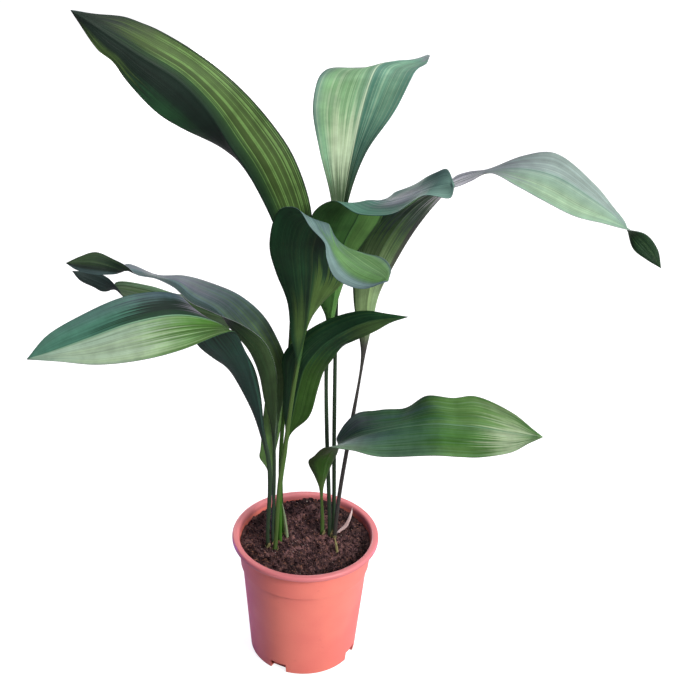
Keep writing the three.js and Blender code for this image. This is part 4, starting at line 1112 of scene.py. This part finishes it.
# Soil

def soil_height(x, y):
    away = (x - SOIL_MOUND["x"]) ** 2 + (y - SOIL_MOUND["y"]) ** 2
    mound = SOIL_MOUND["rise"] * math.exp(-away / (2 * SOIL_MOUND["spread"] ** 2))
    lumps = sum(height * math.sin(in_x * x + in_y * y + start) for height, in_x, in_y, start in SOIL_WAVES)
    return SOIL_LEVEL + mound + lumps


def crumbly(x, y):
    """The height of the soil, with crumbs from half a millimetre to a centimetre across."""
    height = soil_height(x, y)
    height += 1.6 * noise.noise(Vector((x * 0.13, y * 0.13, 3)))
    height += 1.2 * abs(noise.noise(Vector((x * 0.35, y * 0.35, 7))))
    height += 0.9 * noise.noise(Vector((x * 0.8, y * 0.8, 11)))
    return height


def clods_and_painted_light(finish, colour):
    """Soil is mottled by its clods, with painted light in the middle and painted shade towards the pot's
    wall.
    """
    x, y, _ = finish.split(finish.place())
    reach = finish.math("SQRT", finish.math("ADD", finish.multiply(x, x), finish.multiply(y, y)))
    clods = finish.noise(finish.place(), 70.0, 3.0, 0.6)
    return finish.shade(colour, finish.multiply(
        finish.fade(reach, 0.03, 0.075, 1.6, 0.75),
        finish.fade(clods, 0.38, 0.62, 0.55, 1.4),
    ))


def soil_finish():
    finish = Finish("soil", roughness=0.95, specular=0.15)
    place = finish.place()
    fine = finish.noise(place, 420.0, 5.0, 0.7)
    lumps = finish.noise(place, 120.0, 4.0, 0.65)
    colour = finish.turn(SOIL_DARK, SOIL_BROWN, lumps, 0.35, 0.65)
    colour = finish.turn(colour, SOIL_CRUST, fine, 0.52, 0.7)
    colour = finish.turn(colour, SOIL_SPECK, fine, 0.66, 0.71)
    finish.colour(clods_and_painted_light(finish, colour))
    finish.bump(finish.math("ADD", fine, lumps), 0.0012, 0.8)
    return finish.material


def make_soil():
    """A crumbly top on a body that reaches down inside the pot."""
    foot_radius = wall_radius(SOIL_FOOT) - POT_WALL - FOOT_CLEARANCE
    top_radius = wall_radius(SOIL_LEVEL - 4) - POT_WALL - TOP_CLEARANCE
    rings = [[(x, y, SOIL_FOOT) for x, y in circle(foot_radius, SOIL_SIDES)]]
    for ring in range(SOIL_RINGS, 0, -1):
        places = circle(top_radius * ring / SOIL_RINGS, SOIL_SIDES)
        rings.append([(x, y, crumbly(x, y)) for x, y in places])
    points, faces = stacked((0, 0, SOIL_FOOT), rings, (0, 0, crumbly(0, 0)))
    piece = new_piece("soil_fine", points, faces, soil_finish())
    piece.data.shade_smooth()
    dress(piece, "soil", "soil")


def scattered(name, shapes, material, slot="soil"):
    """One piece from many small closed shapes, each given as its points and faces."""
    points, faces = [], []
    for shape_points, shape_faces in shapes:
        first = len(points)
        points += shape_points
        faces += [tuple(first + corner for corner in face) for face in shape_faces]
    dress(new_piece(name, points, faces, material), slot)


GOLDEN = (1 + 5 ** 0.5) / 2
LUMP_POINTS = unit(np.array([
    (-1, GOLDEN, 0), (1, GOLDEN, 0), (-1, -GOLDEN, 0), (1, -GOLDEN, 0),
    (0, -1, GOLDEN), (0, 1, GOLDEN), (0, -1, -GOLDEN), (0, 1, -GOLDEN),
    (GOLDEN, 0, -1), (GOLDEN, 0, 1), (-GOLDEN, 0, -1), (-GOLDEN, 0, 1),
]))
LUMP_FACES = [
    (0, 11, 5), (0, 5, 1), (0, 1, 7), (0, 7, 10), (0, 10, 11),
    (1, 5, 9), (5, 11, 4), (11, 10, 2), (10, 7, 6), (7, 1, 8),
    (3, 9, 4), (3, 4, 2), (3, 2, 6), (3, 6, 8), (3, 8, 9),
    (4, 9, 5), (2, 4, 11), (6, 2, 10), (8, 6, 7), (9, 8, 1),
]


def lump(random, x, y, size, lift):
    """A crumb on the soil: a small twenty-sided body, pushed out of shape."""
    stretch = size * random.uniform(0.6, 1.3, 3)
    shape = LUMP_POINTS * random.uniform(0.75, 1.2, (12, 1)) * stretch
    return (shape + (x, y, crumbly(x, y) + lift)).tolist(), LUMP_FACES


def strand(points, radius):
    """A thin closed thread through points, with a four-sided section."""
    ways = unit(np.gradient(points, axis=0))
    across = unit(np.cross(ways, (0.3, 0.2, 1.0)))
    up = np.cross(ways, across)
    taper = np.linspace(0.3, 1, len(points))
    radii = radius * np.sqrt(taper * taper[::-1] * 2)
    shape = []
    for place, a, b, r in zip(points, across, up, radii):
        shape += [place + way * r for way in (a, b, -a, -b)]
    faces = [(3, 2, 1, 0)]
    last = 4 * (len(points) - 1)
    for ring in range(0, last, 4):
        for side in range(4):
            first, second = ring + side, ring + (side + 1) % 4
            faces.append((first, second, second + 4, first + 4))
    faces.append((last, last + 1, last + 2, last + 3))
    return shape, faces


def on_soil(random, reach=CRUMB_REACH):
    radius = reach * math.sqrt(random.random())
    angle = random.uniform(0, 2 * math.pi)
    return radius * math.cos(angle), radius * math.sin(angle)


def make_crumbs():
    random = np.random.default_rng(11)
    # Each kind: its two colours, how many crumbs, between which sizes they are drawn, and a power
    # that the drawn size is raised to
    kinds = {
        "dark": (0x1C1316, 0x523B3A, 1700, (0.5, 1.9), 1.3),
        "red": (0x543832, 0x866253, 500, (0.35, 1.2), 1),
    }
    for name, (low, high, count, sizes, power) in kinds.items():
        finish = Finish(f"crumbs_{name}", roughness=0.95, specular=0.15)
        speckle = finish.noise(finish.place(), 700.0, 3.0)
        # The crumbs share the soil's painted light in the middle and painted shade by the wall
        finish.colour(clods_and_painted_light(finish, finish.turn(low, high, speckle, 0.4, 0.62)))
        finish.bump(speckle, 0.0005, 0.8)
        shapes = []
        for _ in range(count):
            x, y = on_soil(random)
            size = random.uniform(*sizes) ** power
            shapes.append(lump(random, x, y, size, 0.35 * size))
        scattered(f"soil_crumbs_{name}", shapes, finish.material)


def make_fibres():
    random = np.random.default_rng(23)
    finish = Finish("fibres", roughness=0.8, specular=0.25)
    tone = finish.noise(finish.place(), 260.0, 2.0)
    finish.colour(finish.turn(*FIBRE_TONES, tone, 0.4, 0.6))
    share = np.linspace(0, 1, 6)
    arch = np.sin(np.pi * share)
    shapes = []
    for _ in range(FIBRE_COUNT):
        x, y = on_soil(random, FIBRE_START_REACH)
        heading = random.uniform(0, 2 * math.pi)
        length = random.uniform(2, 7)
        aside = random.uniform(-0.25, 0.25) * length * arch
        ahead = length * (share - 0.5)
        xs = x + math.cos(heading) * ahead - math.sin(heading) * aside
        ys = y + math.sin(heading) * ahead + math.cos(heading) * aside
        inwards = np.minimum(1, FIBRE_END_REACH / np.hypot(xs, ys))
        xs, ys = xs * inwards, ys * inwards
        zs = 0.7 + 0.9 * arch + [crumbly(*place) for place in zip(xs, ys)]
        shapes.append(strand(np.stack((xs, ys, zs), 1), random.uniform(0.12, 0.3)))
    scattered("soil_fibres", shapes, finish.material)


def make_grains():
    random = np.random.default_rng(5)
    finish = Finish("grains", roughness=0.85, specular=0.3)
    pits = finish.noise(finish.place(), 900.0, 3.0)
    finish.colour(finish.turn(*GRAIN_TONES, pits, 0.4, 0.65))
    finish.bump(pits, 0.0004, 0.8)
    shapes = []
    for seen in GRAINS:
        x, y, _ = at_height(*seen, SOIL_LEVEL + 1)
        shapes.append(lump(random, x, y, random.uniform(0.7, 1.3), 0.5))
    for _ in range(FINE_GRAIN_COUNT):
        x, y = on_soil(random)
        shapes.append(lump(random, x, y, random.uniform(0.2, 0.5), 0.3))
    scattered("soil_grains", shapes, finish.material)


def make_scales():
    """Dry, papery leaf bases that wrap the feet of the stalks."""
    random = np.random.default_rng(41)
    finish = Finish("papery_base", roughness=0.75, specular=0.25)
    x, y, z = finish.split(finish.place())
    fibres = finish.noise(finish.join(x, y, finish.multiply(z, 0.15)), 900.0, 3.0)
    finish.colour(finish.turn(*PAPER_TONES, fibres, 0.38, 0.62))
    finish.bump(fibres, 0.0003, 0.8)
    faces = plate_faces(*SCALE_GRID)
    share = np.linspace(0, 1, SCALE_GRID[0])[:, None, None]
    across = np.linspace(-0.5, 0.5, SCALE_GRID[1])[None, :, None]
    shapes = []
    for leaf in LEAVES.values():
        low, high = np.array(leaf["feet"], float)
        for wrap in range(2):
            turn = random.uniform(0, 2 * math.pi)
            spread = random.uniform(1.0, 1.7)
            height = mix(SOIL_LEVEL - SCALE_BURIED, SOIL_LEVEL + random.uniform(3, 9), share)
            centre = mix(low, high, (height - low[2]) / (high[2] - low[2]))
            angle = turn + spread * 2 * across * (1 - SCALE_NARROWING * share ** 2)
            way = np.concatenate((np.cos(angle), np.sin(angle), 0 * angle), 2)
            inner = centre + way * (SCALE_RADIUS + SCALE_STEP * wrap + SCALE_FLARE * share ** 2)
            outer = inner + way * SCALE_THICKNESS
            shapes.append((np.stack((outer, inner)).reshape(-1, 3).tolist(), faces))
    scattered("stalk_bases", shapes, finish.material, "dry_sheath")


def dress_rhizomes():
    finish = Finish("rootstock", roughness=0.8, specular=0.25)
    rings = finish.noise(finish.place(), 180.0, 4.0)
    finish.colour(finish.turn(*ROOT_TONES, rings, 0.35, 0.65))
    finish.bump(rings, 0.0006, 0.7)
    for name in ("rhizome_left", "rhizome_right"):
        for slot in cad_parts[name].material_slots:
            slot.material = finish.material


# Stage and light

def make_stage():
    finish = Finish("floor", roughness=0.9, specular=0.1)
    finish.colour(linear(FLOOR_GREY))
    finish.set("Emission Color", linear(WHITE))
    seen = finish.multiply(finish.node("LightPath").outputs["Is Camera Ray"], FLOOR_GLOW)
    finish.set("Emission Strength", seen)
    corners = [(x * FLOOR_REACH, y * FLOOR_REACH, 0) for x, y in ((-1, -1), (1, -1), (1, 1), (-1, 1))]
    new_piece("floor", corners, [(0, 1, 2, 3)], finish.material)


def make_world():
    """What lights the plant from all sides, and the white backdrop that the camera sees instead."""
    world = bpy.data.worlds.new("studio")
    world.use_nodes = True
    bpy.context.scene.world = world
    sky = Nodes(world.node_tree)
    x, _, _ = sky.split(sky.node("TexCoord").outputs["Generated"])
    share = sky.node("MapRange", x, -0.7, 0.3).outputs[0]
    glow = sky.nodes["Background"]
    sky.put(glow.inputs["Color"], sky.blend(share, LEFT_GLOW, RIGHT_GLOW))
    sky.put(glow.inputs["Strength"], GLOW_STRENGTH)
    backdrop = sky.node("Background", linear(WHITE))
    on_camera = sky.node("LightPath").outputs["Is Camera Ray"]
    seen = sky.node("MixShader", on_camera, glow.outputs[0], backdrop.outputs[0])
    sky.put(sky.nodes["World Output"].inputs["Surface"], seen.outputs[0])


def area_light(name, location, target, size, power, colour, spread=math.pi):
    data = bpy.data.lights.new(name, "AREA")
    data.shape = "DISK"
    data.size = size
    data.energy = power
    data.color = colour
    data.spread = spread
    light = add_object(name, data)
    light.location = location
    light.rotation_euler = (Vector(target) - Vector(location)).to_track_quat("-Z", "Y").to_euler()


def make_light():
    make_world()
    area_light("key", (1.9, -1.8, 1.9), (0, 0, 0.3), 1.2, 112, (1, 0.96, 0.95))
    area_light("violet", (-0.55, 0.22, 0.05), (0, 0, 0.07), 0.12, 0.12, (0.2, 0.1, 1), math.radians(36))
    area_light("pink", (0.55, 0.25, 0.05), (0, 0, 0.07), 0.12, 0.06, (0.5, 0.2, 1), math.radians(36))
    area_light("sky", (0.3, 0.9, 2.8), (0, 0, 0.4), 2.0, 38, (0.92, 0.96, 1))
    area_light("behind", (-0.9, 2.4, 0.4), (0, 0, 0.35), 1.6, 34, (1, 0.98, 0.96))
    settings = bpy.context.scene.view_settings
    settings.view_transform = "Standard"
    settings.look = "None"


make_camera()
make_leaves()
make_pot()
make_soil()
make_crumbs()
make_fibres()
make_grains()
make_scales()
dress_rhizomes()
make_stage()
make_light()
